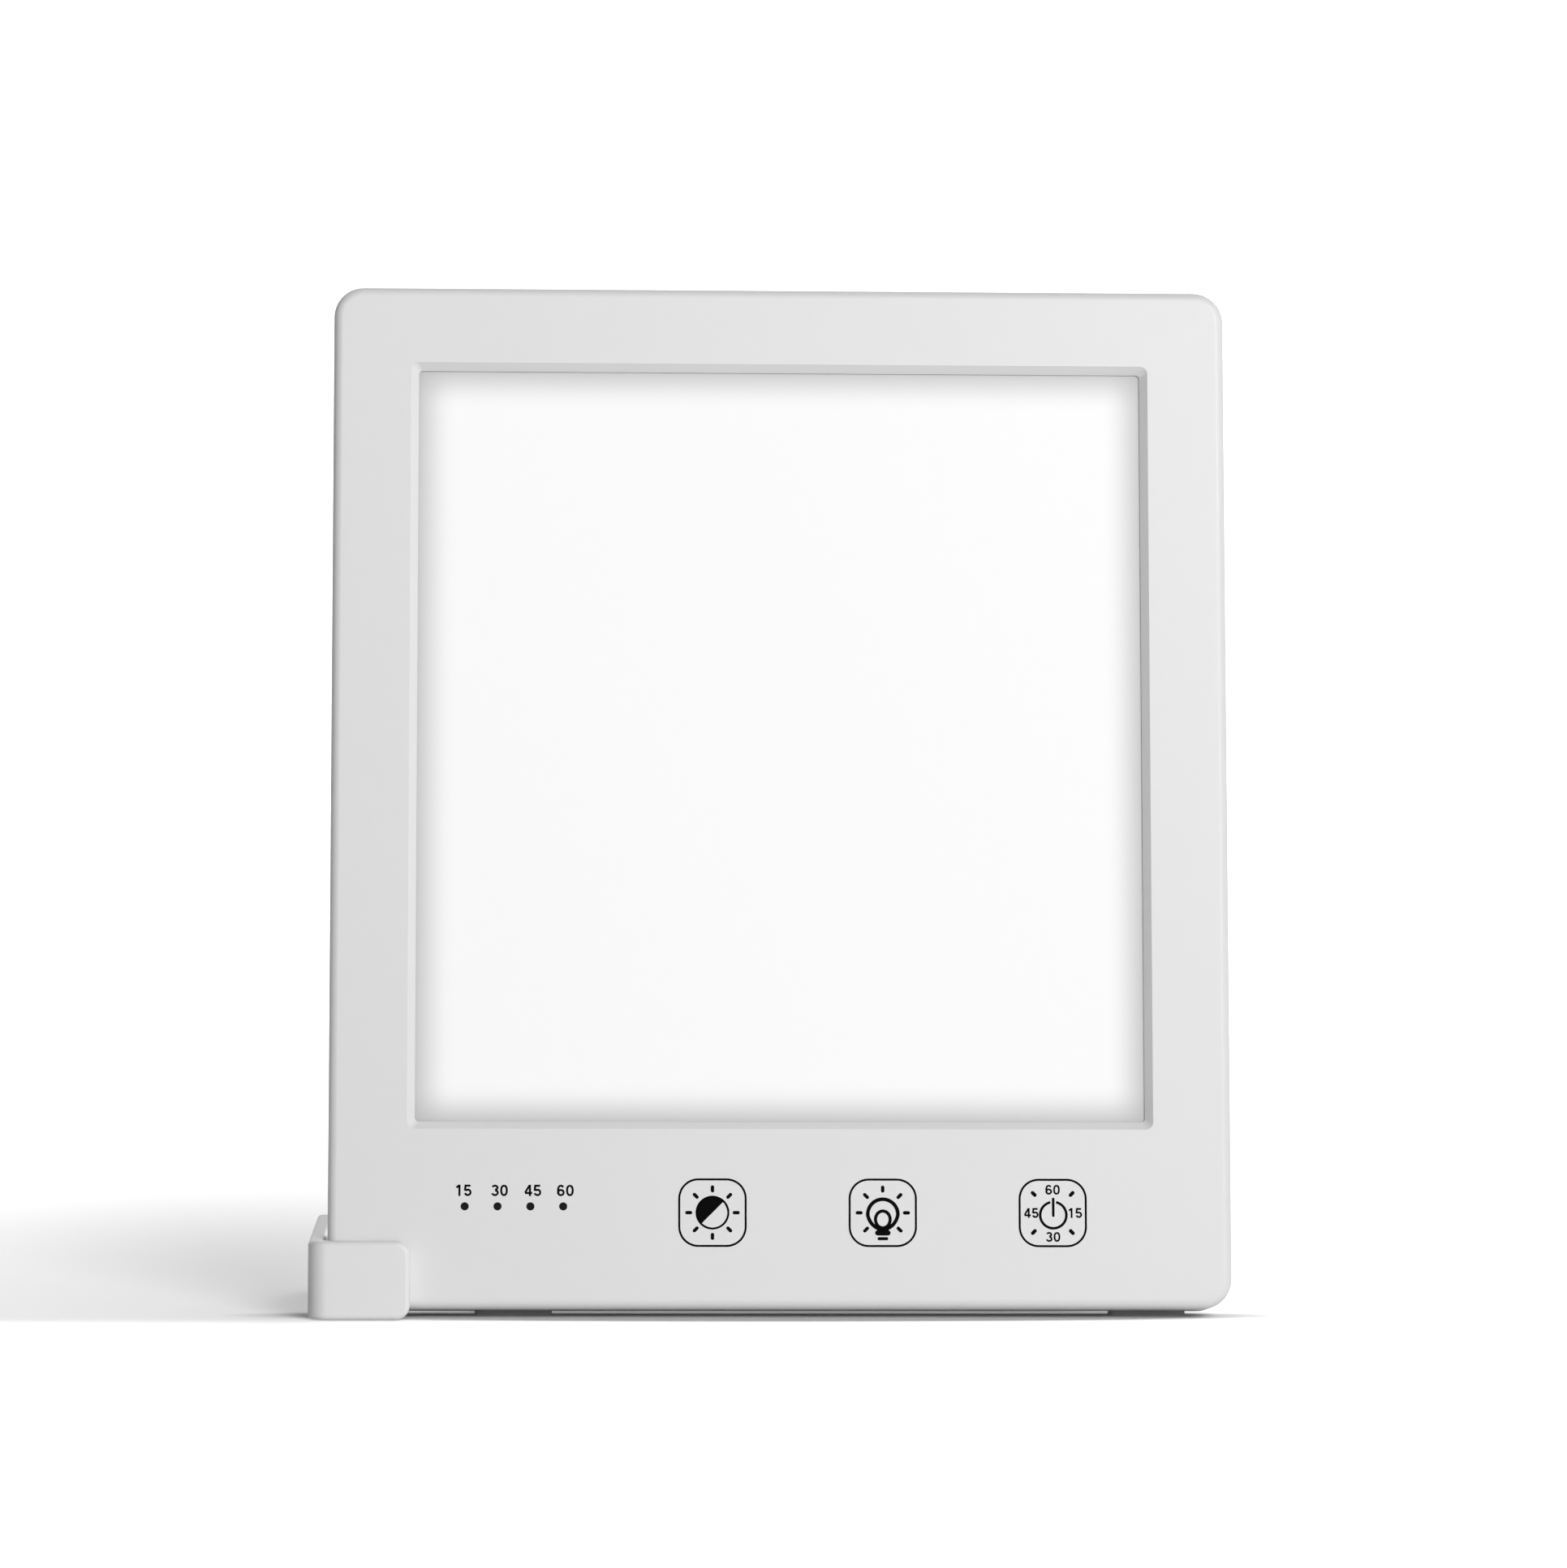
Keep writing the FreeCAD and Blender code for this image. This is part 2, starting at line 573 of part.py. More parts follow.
def make_reflector_tray():
    outer = tray_frustum(0.0, TRAY_FRONT, LED_BOARD_FRONT)
    inner = tray_frustum(TRAY_WALL, TRAY_FRONT, LED_BOARD_FRONT - TRAY_WALL)
    left, right, low, high = light_area()
    f = 1.6 + TRAY_FLANGE
    flange = plate(left - f, right + f, low - f, high + f, 3.0, TRAY_FRONT, TRAY_FRONT + TRAY_WALL)
    tray = fuse_all([outer, flange]).cut(inner)
    holes = [rod_y(x, z, LED_HOLE_RADIUS, LED_BOARD_FRONT - 1.0, LED_BOARD_FRONT + 1.0)
             for x, z in led_places()]
    holes += [rod_y(x, z, SMALL_HEAD_RADIUS + 0.4, LED_BOARD_FRONT - 1.0, LED_BOARD_FRONT + 1.0)
              for x, z in led_screw_places()]
    return tray.cut(holes)


def make_led_board():
    left, right, low, high = light_area()
    board = plate(left - 1.0, right + 1.0, low - DIFFUSER_OVERLAP - LED_BOARD_TAIL, high + 1.0,
                  2.0, LED_BOARD_FRONT, LED_BOARD_BACK)
    holes = [rod_y(x, z, SMALL_SCREW_RADIUS, LED_BOARD_FRONT - 1.0, LED_BOARD_BACK + 1.0)
             for x, z in led_screw_places()]
    return board.cut(holes)


def make_led_packages():
    packages = [box(x - LED_WIDTH / 2, x + LED_WIDTH / 2, LED_BOARD_FRONT - LED_HEIGHT,
                    LED_BOARD_FRONT, z - LED_LENGTH / 2, z + LED_LENGTH / 2)
                for x, z in led_places()]
    return Part.makeCompound(packages)


def screw(x, z, head_y, towards, head_radius, head_height, shank_radius, length):
    """A cross-head screw along Y; towards is the way that its tip points, 1 or -1."""
    direction = Vector(0, towards, 0)
    head = Part.makeCylinder(head_radius, head_height, Vector(x, head_y, z), -direction)
    far_edge = [edge for edge in head.Edges
                if abs(edge.BoundBox.YMin - (head_y - towards * head_height)) < 1e-6
                and abs(edge.BoundBox.YMax - (head_y - towards * head_height)) < 1e-6]
    head = head.makeFillet(head_height * 0.45, far_edge)
    shank = Part.makeCylinder(shank_radius, length, Vector(x, head_y, z), direction)
    body = fuse_all([head, shank])
    top = head_y - towards * head_height
    depth = head_height * 0.6
    y0, y1 = sorted((top - towards * 0.5, top + towards * depth))
    arm = head_radius * 0.55
    w = SCREW_CROSS_WIDTH / 2
    cross = [box(x - arm, x + arm, y0, y1, z - w, z + w),
             box(x - w, x + w, y0, y1, z - arm, z + arm)]
    return body.cut(cross)


def small_screws(places, head_y, towards, length):
    return Part.makeCompound([screw(x, z, head_y, towards, SMALL_HEAD_RADIUS, SMALL_HEAD_HEIGHT,
                                    SMALL_SCREW_RADIUS, length) for x, z in places])


def make_cover_screws():
    head_y = PANEL_DEPTH - COVER_WELL_DEPTH
    return Part.makeCompound([screw(x, z, head_y, -1, COVER_HEAD_RADIUS, COVER_HEAD_HEIGHT,
                                    COVER_SCREW_RADIUS, COVER_SCREW_LENGTH)
                              for x, z in cover_screw_places()])


def board_with_holes(left, right, low, high, y0, y1, places):
    board = plate(left, right, low, high, BOARD_CORNER_RADIUS, y0, y1)
    holes = [rod_y(x, z, SMALL_SCREW_RADIUS, y0 - 1.0, y1 + 1.0) for x, z in places]
    return board.cut(holes)


def make_control_board():
    return board_with_holes(CONTROL_LEFT, CONTROL_RIGHT, CONTROL_LOW, CONTROL_HIGH,
                            CONTROL_FRONT, CONTROL_BACK, control_screw_places())


def make_touch_pads():
    """Conductive foam pads between the board and the inside of the front wall."""
    return Part.makeCompound([rod_y(x, TOUCH_HEIGHT, TOUCH_PAD_RADIUS, WALL, CONTROL_FRONT)
                              for x in touch_places()])


def make_indicator_lenses():
    lenses = []
    for x in lamp_places():
        stem = rod_y(x, LAMP_HEIGHT, LAMP_RADIUS, 0.0, WALL)
        flange = rod_y(x, LAMP_HEIGHT, LAMP_RADIUS + LAMP_FLANGE, WALL, WALL + LAMP_FLANGE_DEPTH)
        lenses.append(fuse_all([stem, flange]))
    return Part.makeCompound(lenses)


def make_indicator_leds():
    front = WALL + LAMP_FLANGE_DEPTH + LAMP_LED_GAP
    w = LAMP_LED_WIDTH / 2
    h = LAMP_LED_HEIGHT / 2
    return Part.makeCompound([box(x - w, x + w, front, CONTROL_FRONT, LAMP_HEIGHT - h,
                                  LAMP_HEIGHT + h) for x in lamp_places()])


def ribbon_rows():
    centre = (DRIVER_LOW + DRIVER_HIGH) / 2 - RIBBON_DROP
    return [centre + RIBBON_PITCH * (index - (RIBBON_WIRES - 1) / 2)
            for index in range(RIBBON_WIRES)]


def ribbon_plug(x, face, towards):
    """The plug at one end of the ribbon, from x on, as deep as the plugs are."""
    rows = ribbon_rows()
    y0, y1 = sorted((face, face + towards * PLUG_DEPTH))
    return box(x, x + PLUG_LENGTH, y0, y1, rows[0] - PLUG_MARGIN, rows[-1] + PLUG_MARGIN)


def board_block(left, low, face, towards, sizes):
    """A block on a board's face; sizes start from the board's left and low edges."""
    x, z, width, height, depth = sizes
    y0, y1 = sorted((face, face + towards * depth))
    return box(left + x, left + x + width, y0, y1, low + z, low + z + height)


def make_control_parts():
    """The touch chip, its crystal, small capacitors, resistors and the ribbon's plug."""
    back = CONTROL_BACK
    parts = [board_block(CONTROL_LEFT, CONTROL_LOW, back, 1, TOUCH_CHIP),
             board_block(CONTROL_LEFT, CONTROL_LOW, back, 1, CRYSTAL)]
    for index in range(CHIP_CAPACITOR_COUNT):
        left = CONTROL_LEFT + CHIP_CAPACITOR_PITCH * index
        parts.append(board_block(left, CONTROL_LOW, back, 1, CHIP_CAPACITOR))
    low = TOUCH_HEIGHT + FIELD_RESISTOR_RISE
    for x in touch_places():
        parts.append(box(x - FIELD_RESISTOR_WIDTH / 2, x + FIELD_RESISTOR_WIDTH / 2, back,
                         back + FIELD_RESISTOR_DEPTH, low, low + FIELD_RESISTOR_HEIGHT))
    parts.append(ribbon_plug(RIBBON_START - PLUG_LENGTH, back, 1))
    return Part.makeCompound(parts)


def make_driver_board():
    return board_with_holes(DRIVER_LEFT, DRIVER_RIGHT, DRIVER_LOW, DRIVER_HIGH,
                            DRIVER_FRONT, DRIVER_BACK, driver_screw_places())


def lead_places():
    middle = DRIVER_LEFT + LEAD_INSET
    return [middle - LEAD_PITCH / 2, middle + LEAD_PITCH / 2]


def driver_coil():
    """A square base with a round core on it, that faces the front."""
    base = board_block(DRIVER_LEFT, DRIVER_LOW, DRIVER_FRONT, -1, COIL_BASE)
    x, z, width, height, depth = COIL_BASE
    core = rod_y(DRIVER_LEFT + x + width / 2, DRIVER_LOW + z + height / 2, COIL_RADIUS,
                 DRIVER_FRONT - COIL_DEPTH, DRIVER_FRONT - depth)
    return fuse_all([base, core])


def make_driver_parts():
    """The coil, two can capacitors, a chip, a transistor and two plugs on the driver board."""
    front = DRIVER_FRONT
    wires = lead_places()
    parts = [driver_coil()]
    for x, z in CAN_PLACES:
        parts.append(rod_y(DRIVER_LEFT + x, DRIVER_LOW + z, CAN_RADIUS, front - CAN_DEPTH, front))
    parts += [board_block(DRIVER_LEFT, DRIVER_LOW, front, -1, POWER_CHIP),
              board_block(DRIVER_LEFT, DRIVER_LOW, front, -1, TRANSISTOR),
              ribbon_plug(RIBBON_END, front, -1),
              box(wires[0] - LEAD_SOCKET_MARGIN, wires[1] + LEAD_SOCKET_MARGIN,
                  front - PLUG_DEPTH, front, LEAD_LOW - PLUG_LENGTH, LEAD_LOW)]
    return Part.makeCompound(parts)


def make_led_socket():
    wires = lead_places()
    return box(wires[0] - LEAD_SOCKET_MARGIN, wires[1] + LEAD_SOCKET_MARGIN,
               LEAD_DEPTH - LEAD_SOCKET_FRONT, LED_BOARD_FRONT,
               LEAD_HIGH, LEAD_HIGH + LEAD_SOCKET_LENGTH)


def make_led_leads():
    return Part.makeCompound([rod_z(x, LEAD_DEPTH, LEAD_RADIUS, LEAD_LOW, LEAD_HIGH)
                              for x in lead_places()])


def corner_arc(before, corner, after, radius):
    """The tangent arc of this radius that rounds one corner of a path."""
    first = (before - corner).normalize()
    second = (after - corner).normalize()
    half = first.getAngle(second) / 2
    reach = radius / math.tan(half)
    middle_way = (first + second).normalize()
    centre = corner + middle_way * (radius / math.sin(half))
    start = corner + first * reach
    end = corner + second * reach
    middle = centre - middle_way * radius
    return start, middle, end


def ribbon_wire(z):
    step = (RIBBON_END - RIBBON_START) / 3
    points = [Vector(RIBBON_START, RIBBON_NEAR, z), Vector(RIBBON_START + step, RIBBON_NEAR, z),
              Vector(RIBBON_END - step, RIBBON_FAR, z), Vector(RIBBON_END, RIBBON_FAR, z)]
    slope = math.atan2(abs(RIBBON_FAR - RIBBON_NEAR), step)
    radius = 0.45 * step / math.tan(slope / 2)
    first = corner_arc(points[0], points[1], points[2], radius)
    second = corner_arc(points[1], points[2], points[3], radius)
    edges = [Part.LineSegment(points[0], first[0]).toShape(),
             Part.Arc(*first).toShape(),
             Part.LineSegment(first[2], second[0]).toShape(),
             Part.Arc(*second).toShape(),
             Part.LineSegment(second[2], points[3]).toShape()]
    circle = Part.Wire(Part.makeCircle(RIBBON_RADIUS, points[0], Vector(1, 0, 0)))
    print("ribbon wire bend radius", round(radius, 2))
    return Part.Wire(edges).makePipeShell([circle], True, False)


def make_control_ribbon():
    return Part.makeCompound([ribbon_wire(z) for z in ribbon_rows()])


def make_dc_inlet():
    inside = HALF_WIDTH - WALL
    half = INLET_BODY_WIDTH / 2
    body = box(inside - INLET_BODY_LENGTH, inside, INLET_AXIS_Y - INLET_BODY_DEPTH / 2,
               DRIVER_FRONT, INLET_HEIGHT - half, INLET_HEIGHT + half)
    snout = rod_x(INLET_AXIS_Y, INLET_HEIGHT, INLET_SNOUT_RADIUS, inside - 1.0, HALF_WIDTH - 0.2)
    bore = rod_x(INLET_AXIS_Y, INLET_HEIGHT, INLET_BORE_RADIUS, HALF_WIDTH - INLET_BORE_DEPTH,
                 HALF_WIDTH + 1.0)
    return fuse_all([body, snout]).cut(bore)


def make_inlet_pin():
    return rod_x(INLET_AXIS_Y, INLET_HEIGHT, INLET_PIN_RADIUS, HALF_WIDTH - INLET_BORE_DEPTH,
                 HALF_WIDTH - 1.2)


def make_hinge_bracket():
    half = BRACKET_WIDTH / 2
    flange_y = WALL + BRACKET_POST
    back = PIVOT_Y + HINGE_BOSS_RADIUS
    shelf = box(PIVOT_X - half, PIVOT_X + half, flange_y, back, BOSS_TOP, CLIP_LOW)
    flange = box(PIVOT_X - half, PIVOT_X + half, flange_y, flange_y + BRACKET_THICKNESS,
                 BOSS_TOP, BOSS_TOP + BRACKET_HEIGHT)
    holes = [rod_z(PIVOT_X, PIVOT_Y, PIN_RADIUS, BOSS_TOP - 1.0, CLIP_LOW + 1.0)]
    holes += [rod_y(x, z, SMALL_SCREW_RADIUS, flange_y - 1.0, flange_y + BRACKET_THICKNESS + 1.0)
              for x, z in bracket_screw_places()]
    return fuse_all([shelf, flange]).cut(holes)


def make_hinge_pin():
    head = rod_z(PIVOT_X, PIVOT_Y, PIN_HEAD_RADIUS, 0.2, PIN_HEAD_HEIGHT + 0.2)
    top = CLIP_LOW + CLIP_THICKNESS + PIN_TAIL
    shank = rod_z(PIVOT_X, PIVOT_Y, PIN_RADIUS, PIN_HEAD_HEIGHT, top)
    groove = rod_z(PIVOT_X, PIVOT_Y, PIN_RADIUS + 1.0, CLIP_LOW, CLIP_LOW + CLIP_THICKNESS)
    groove = groove.cut(rod_z(PIVOT_X, PIVOT_Y, PIN_RADIUS - CLIP_GROOVE, CLIP_LOW - 1.0, top))
    return fuse_all([head, shank]).cut(groove)


def make_pin_clip():
    """A snap ring with an open side, seated in the pin's groove."""
    ring = rod_z(PIVOT_X, PIVOT_Y, CLIP_RADIUS, CLIP_LOW, CLIP_LOW + CLIP_THICKNESS)
    inner = PIN_RADIUS - CLIP_GROOVE
    hole = rod_z(PIVOT_X, PIVOT_Y, inner, CLIP_LOW - 1.0, CLIP_LOW + CLIP_THICKNESS + 1.0)
    mouth = box(PIVOT_X + 0.5, PIVOT_X + CLIP_RADIUS + 1.0, PIVOT_Y - inner, PIVOT_Y + inner,
                CLIP_LOW - 1.0, CLIP_LOW + CLIP_THICKNESS + 1.0)
    return ring.cut([hole, mouth])


def washer(z0, z1):
    ring = rod_z(PIVOT_X, PIVOT_Y, WASHER_RADIUS, z0, z1)
    return ring.cut(rod_z(PIVOT_X, PIVOT_Y, PIN_RADIUS, z0 - 1.0, z1 + 1.0))


def make_knuckle_bush():
    gap = 0.05
    bush = rod_z(PIVOT_X, PIVOT_Y, BUSH_RADIUS, KNUCKLE_LOW + gap, KNUCKLE_HIGH - gap)
    return bush.cut(rod_z(PIVOT_X, PIVOT_Y, PIN_RADIUS + PIN_CLEARANCE, 0.0, SEAT_HEIGHT))


def foot_profile():
    """The L of the foot seen along the hinge, with a round outer and inner fold."""
    g = FOOT_GAP
    w = FOOT_GAP + FOOT_WALL
    left = -HALF_WIDTH
    far = LEG_LENGTH + 30.0
    outer = min(FOLD_RADIUS, FOOT_WALL + FOOT_GAP)
    inner = FOLD_INNER_RADIUS
    h = math.sqrt(0.5)
    tab_end = left + TAB_REACH
    a = Vector(tab_end, -w, 0)
    b = Vector(left - w + outer, -w, 0)
    c = Vector(left - w, -w + outer, 0)
    bend = Vector(left - w + outer * (1 - h), -w + outer * (1 - h), 0)
    d = Vector(left - w, far, 0)
    e = Vector(left - g, far, 0)
    f = Vector(left - g, -g + inner, 0)
    i = Vector(left - g + inner, -g, 0)
    inside = Vector(left - g + inner * (1 - h), -g + inner * (1 - h), 0)
    j = Vector(tab_end, -g, 0)
    edges = [Part.LineSegment(a, b).toShape(), Part.Arc(b, bend, c).toShape(),
             Part.LineSegment(c, d).toShape(), Part.LineSegment(d, e).toShape(),
             Part.LineSegment(e, f).toShape(), Part.Arc(f, inside, i).toShape(),
             Part.LineSegment(i, j).toShape(), Part.LineSegment(j, a).toShape()]
    return Part.Face(Part.Wire(edges))


def leg_end_y():
    """Where the leg ends over the floor, counted from the front of the tab's foot."""
    return -(FOOT_GAP + FOOT_WALL) * math.cos(LEAN) + LEG_LENGTH


def foot_pad_places():
    return [(8.0, 8.0 + PAD_LENGTH), (leg_end_y() - 4.0 - PAD_LENGTH, leg_end_y() - 4.0)]


def rounded_tab(shape):
    """Rounds the two free corners of the tab and the edges that a hand meets."""
    tab_end = -HALF_WIDTH + TAB_REACH
    corners = []
    for edge in shape.Edges:
        bounds = edge.BoundBox
        at_end = bounds.XMin > tab_end - 0.01
        across = abs(bounds.YLength - FOOT_WALL * math.cos(LEAN)) < 0.5
        if at_end and across and bounds.ZLength < 1.0:
            corners.append(edge)
    shape = shape.makeFillet(TAB_CORNER_RADIUS, corners)
    return shape


def top_and_front_edges(shape):
    """The rim of the foot's top face and the front rim of the tab."""
    picked = []
    for edge in shape.Edges:
        bounds = edge.BoundBox
        on_top = bounds.ZMin > FOOT_HEIGHT - 0.01
        if on_top:
            picked.append(edge)
            continue
        middle = edge.valueAt((edge.FirstParameter + edge.LastParameter) / 2)
        panel_y = middle.y * math.cos(LEAN) - (middle.z - LIFT) * math.sin(LEAN)
        on_front = panel_y < -(FOOT_GAP + FOOT_WALL) + 0.05
        near_end = middle.x > -HALF_WIDTH + TAB_REACH - TAB_CORNER_RADIUS - 0.1
        if on_front and near_end:
            picked.append(edge)
    return picked


def make_foot_bracket():
    profile = foot_profile()
    profile.translate(Vector(0, 0, -40.0))
    walls = lean_back(profile.extrude(Vector(0, 0, 120.0)))
    band = box(-FAR, FAR, -FAR, leg_end_y(), PAD_DROP, FOOT_HEIGHT)
    walls = walls.common(band)
    nose = [edge for edge in walls.Edges
            if edge.BoundBox.YMin > leg_end_y() - 0.01
            and edge.BoundBox.ZLength > FOOT_HEIGHT / 2]
    walls = walls.makeFillet(FOOT_WALL * 0.45, nose)
    walls = rounded_tab(walls)
    walls = walls.makeFillet(FOOT_EDGE_RADIUS, top_and_front_edges(walls))
    reach = PIVOT_Y + FOOT_GAP
    knuckle = rod_z(PIVOT_X, PIVOT_Y, KNUCKLE_RADIUS, KNUCKLE_LOW, KNUCKLE_HIGH)
    web = box(PIVOT_X - reach - 1.0, PIVOT_X, PIVOT_Y - reach - 1.0, PIVOT_Y,
              KNUCKLE_LOW, KNUCKLE_HIGH)
    bore = rod_z(PIVOT_X, PIVOT_Y, BUSH_RADIUS, 0.0, SEAT_HEIGHT)
    hub = lean_back(fuse_all([knuckle, web]).cut(bore))
    pads = [foot_pad(y0, y1, PAD_DROP - 1.0) for y0, y1 in foot_pad_places()]
    return fuse_all([walls, hub]).cut(pads)


def foot_pad(y0, y1, low):
    x0 = -HALF_WIDTH - FOOT_GAP - FOOT_WALL + PAD_SIDE
    x1 = -HALF_WIDTH - FOOT_GAP - PAD_SIDE
    return box(x0, x1, y0, y1, low, PAD_DROP + PAD_INSET)


def make_foot_pads():
    return Part.makeCompound([foot_pad(y0, y1, 0.0) for y0, y1 in foot_pad_places()])


def build_lamp():
    """All pieces in the standing lamp, by name."""
    panel = {
        "front_bezel": make_front_bezel(),
        "rear_cover": make_rear_cover(),
        "window_gasket": make_window_gasket(),
        "diffuser_plate": make_diffuser_plate(),
        "diffusing_film": make_diffusing_film(),
        "reflector_tray": make_reflector_tray(),
        "led_board": make_led_board(),
        "led_packages": make_led_packages(),
        "led_board_screws": small_screws(led_screw_places(), LED_BOARD_FRONT, 1,
                                         SMALL_SCREW_LENGTH),
        "led_socket": make_led_socket(),
        "led_leads": make_led_leads(),
        "cover_screws": make_cover_screws(),
        "control_board": make_control_board(),
        "control_board_parts": make_control_parts(),
        "control_board_screws": small_screws(control_screw_places(), CONTROL_BACK, -1,
                                             SMALL_SCREW_LENGTH),
        "control_ribbon": make_control_ribbon(),
        "touch_pads": make_touch_pads(),
        "indicator_lenses": make_indicator_lenses(),
        "indicator_leds": make_indicator_leds(),
        "driver_board": make_driver_board(),
        "driver_board_parts": make_driver_parts(),
        "driver_board_screws": small_screws(driver_screw_places(), DRIVER_FRONT, 1,
                                            SMALL_SCREW_LENGTH),
        "dc_inlet": make_dc_inlet(),
        "dc_inlet_pin": make_inlet_pin(),
        "hinge_bracket": make_hinge_bracket(),
        "hinge_bracket_screws": small_screws(bracket_screw_places(),
                                             WALL + BRACKET_POST + BRACKET_THICKNESS, -1,
                                             SMALL_SCREW_LENGTH),
        "hinge_pin": make_hinge_pin(),
        "hinge_pin_clip": make_pin_clip(),
        "friction_washer": washer(LUG_THICKNESS, KNUCKLE_LOW - 0.03),
        "spring_washer": washer(KNUCKLE_HIGH + 0.03, SEAT_HEIGHT),
        "knuckle_bush": make_knuckle_bush(),
    }
    pieces = {name: lean_back(shape) for name, shape in panel.items()}
    pieces["base_feet"] = make_base_feet()
    pieces["foot_bracket"] = make_foot_bracket()
    pieces["foot_pads"] = make_foot_pads()
    return pieces


def centre_on_floor(pieces):
    """Moves all pieces so that the middle of their common box stands on the origin."""
    whole = Part.makeCompound(list(pieces.values())).optimalBoundingBox(False, False)
    shift = Vector(-(whole.XMin + whole.XMax) / 2, -(whole.YMin + whole.YMax) / 2, -whole.ZMin)
    for shape in pieces.values():
        shape.translate(shift)
    return shift


def main():
    os.makedirs("parts", exist_ok=True)
    pieces = build_lamp()
    shift = centre_on_floor(pieces)
    for name, shape in pieces.items():
        solids = Part.makeCompound(shape.Solids)
        kept = shape.Solids[0] if len(shape.Solids) == 1 else solids
        kept.exportStep("parts/" + name + ".step")
        print(name, len(shape.Solids), "valid" if kept.isValid() else "NOT VALID")
    pivot = lean_back(Part.Vertex(PIVOT_X, PIVOT_Y, KNUCKLE_LOW)).Point + shift
    print("shift", tuple(round(v, 4) for v in shift))
    print("pivot", tuple(round(v, 4) for v in pivot))


main()
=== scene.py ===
# %% [markdown]
# # A light therapy lamp, dressed for its picture
# The lamp is a slim lit panel that leans back on an L-shaped swing foot. Its solid parts come
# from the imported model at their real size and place. This script gives every surface its
# finish, prints the signs on the front, lights the window, and sets up camera and lights.

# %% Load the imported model
import json
import math

import bmesh
import bpy
import numpy as np
from mathutils import Matrix, Vector


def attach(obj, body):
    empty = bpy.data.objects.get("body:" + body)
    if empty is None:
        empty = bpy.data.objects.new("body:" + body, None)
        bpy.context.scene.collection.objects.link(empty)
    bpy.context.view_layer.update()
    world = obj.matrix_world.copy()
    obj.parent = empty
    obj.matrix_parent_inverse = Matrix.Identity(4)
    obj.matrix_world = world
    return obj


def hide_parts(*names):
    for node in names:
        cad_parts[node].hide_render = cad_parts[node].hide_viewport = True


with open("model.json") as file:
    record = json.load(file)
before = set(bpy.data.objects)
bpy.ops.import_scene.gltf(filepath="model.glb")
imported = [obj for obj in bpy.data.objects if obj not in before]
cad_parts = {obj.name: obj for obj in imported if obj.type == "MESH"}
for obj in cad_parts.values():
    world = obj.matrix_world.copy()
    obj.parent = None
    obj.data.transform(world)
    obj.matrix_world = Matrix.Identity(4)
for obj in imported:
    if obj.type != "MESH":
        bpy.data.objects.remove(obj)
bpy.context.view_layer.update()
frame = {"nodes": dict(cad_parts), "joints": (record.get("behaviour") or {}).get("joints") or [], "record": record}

# %% [markdown]
# ## Finding the leaning panel
# Prints and lamps sit on the front face, which leans back. The hinge of the foot runs along
# the panel's left edge, so its axis tells the lean, and its pivot tells where the panel is.
# A helper then turns panel sizes (across, up, and out of the front) into places in metres.

# %% The panel's own axes
MM = 0.001
PANEL_WIDTH = 210.0
PANEL_DEPTH = 16.0
PIVOT_UP = 3.7
hinge = frame["joints"][0]
pivot = np.array(hinge["pos_m"], float)
up_axis = -np.array(hinge["axis"], float)
up_axis /= np.linalg.norm(up_axis)
across_axis = np.array([1.0, 0.0, 0.0])
back_axis = np.cross(up_axis, across_axis)
corner = (pivot - across_axis * PANEL_DEPTH / 2 * MM - back_axis * PANEL_DEPTH / 2 * MM
          - up_axis * PIVOT_UP * MM)
print("lean in degrees", round(math.degrees(math.atan2(up_axis[1], up_axis[2])), 3))


def on_panel(across, up, out):
    """Places in metres for panel sizes in mm: corner plus each size times its own axis."""
    across, up, out = np.broadcast_arrays(across, up, out)
    return (corner + across[..., None] * MM * across_axis + up[..., None] * MM * up_axis
            - out[..., None] * MM * back_axis)


# %% [markdown]
# ## The camera
# The picture was taken from about a metre and a half away, a little to the left and just
# above the table's level, with a long lens, so the sides of the panel stay nearly parallel.
# Distance, angles and lens come from a fit to the panel's corners, its window and its foot.

# %% Camera
CAMERA_DISTANCE = 1.5
CAMERA_AZIMUTH = -2.325
CAMERA_ELEVATION = 1.091
CAMERA_ROLL = 0.263
PHOTO_LONG_SIDE = 1932.0
FOCAL_PIXELS = 7888.4
SENSOR = 36.0
CLIP_START = 0.05
TARGET_ASIDE = 0.000813
TARGET_BACK = 0.020
TARGET_UP = 0.123693
panel_foot = corner + across_axis * PANEL_WIDTH / 2 * MM
TARGET = Vector((panel_foot[0] + TARGET_ASIDE, panel_foot[1] + TARGET_BACK, TARGET_UP))


def add_camera():
    """Looks at the target from polar angles; the roll turns the picture about its middle."""
    az = math.radians(CAMERA_AZIMUTH)
    el = math.radians(CAMERA_ELEVATION)
    away = Vector((math.sin(az) * math.cos(el), -math.cos(az) * math.cos(el), math.sin(el)))
    data = bpy.data.cameras.new("camera")
    data.sensor_fit = "VERTICAL"
    data.sensor_height = SENSOR
    data.lens = FOCAL_PIXELS * SENSOR / PHOTO_LONG_SIDE
    data.clip_start = CLIP_START
    camera = bpy.data.objects.new("camera", data)
    turn = away.to_track_quat("Z", "Y").to_matrix().to_4x4()
    roll = Matrix.Rotation(math.radians(CAMERA_ROLL), 4, "Z")
    camera.matrix_world = Matrix.Translation(TARGET + away * CAMERA_DISTANCE) @ turn @ roll
    bpy.context.scene.collection.objects.link(camera)
    bpy.context.scene.camera = camera
    return camera


camera = add_camera()
print("lens", round(camera.data.lens, 2))

# %% [markdown]
# ## Studio
# The lamp stands on a white table that runs up into a white wall without a line. One surface
# does both: its profile is a straight run, a quarter round and an upright, swept across.
# Two planes would show a line where they meet, and a bent plane with few faces would show its
# steps in the shading.

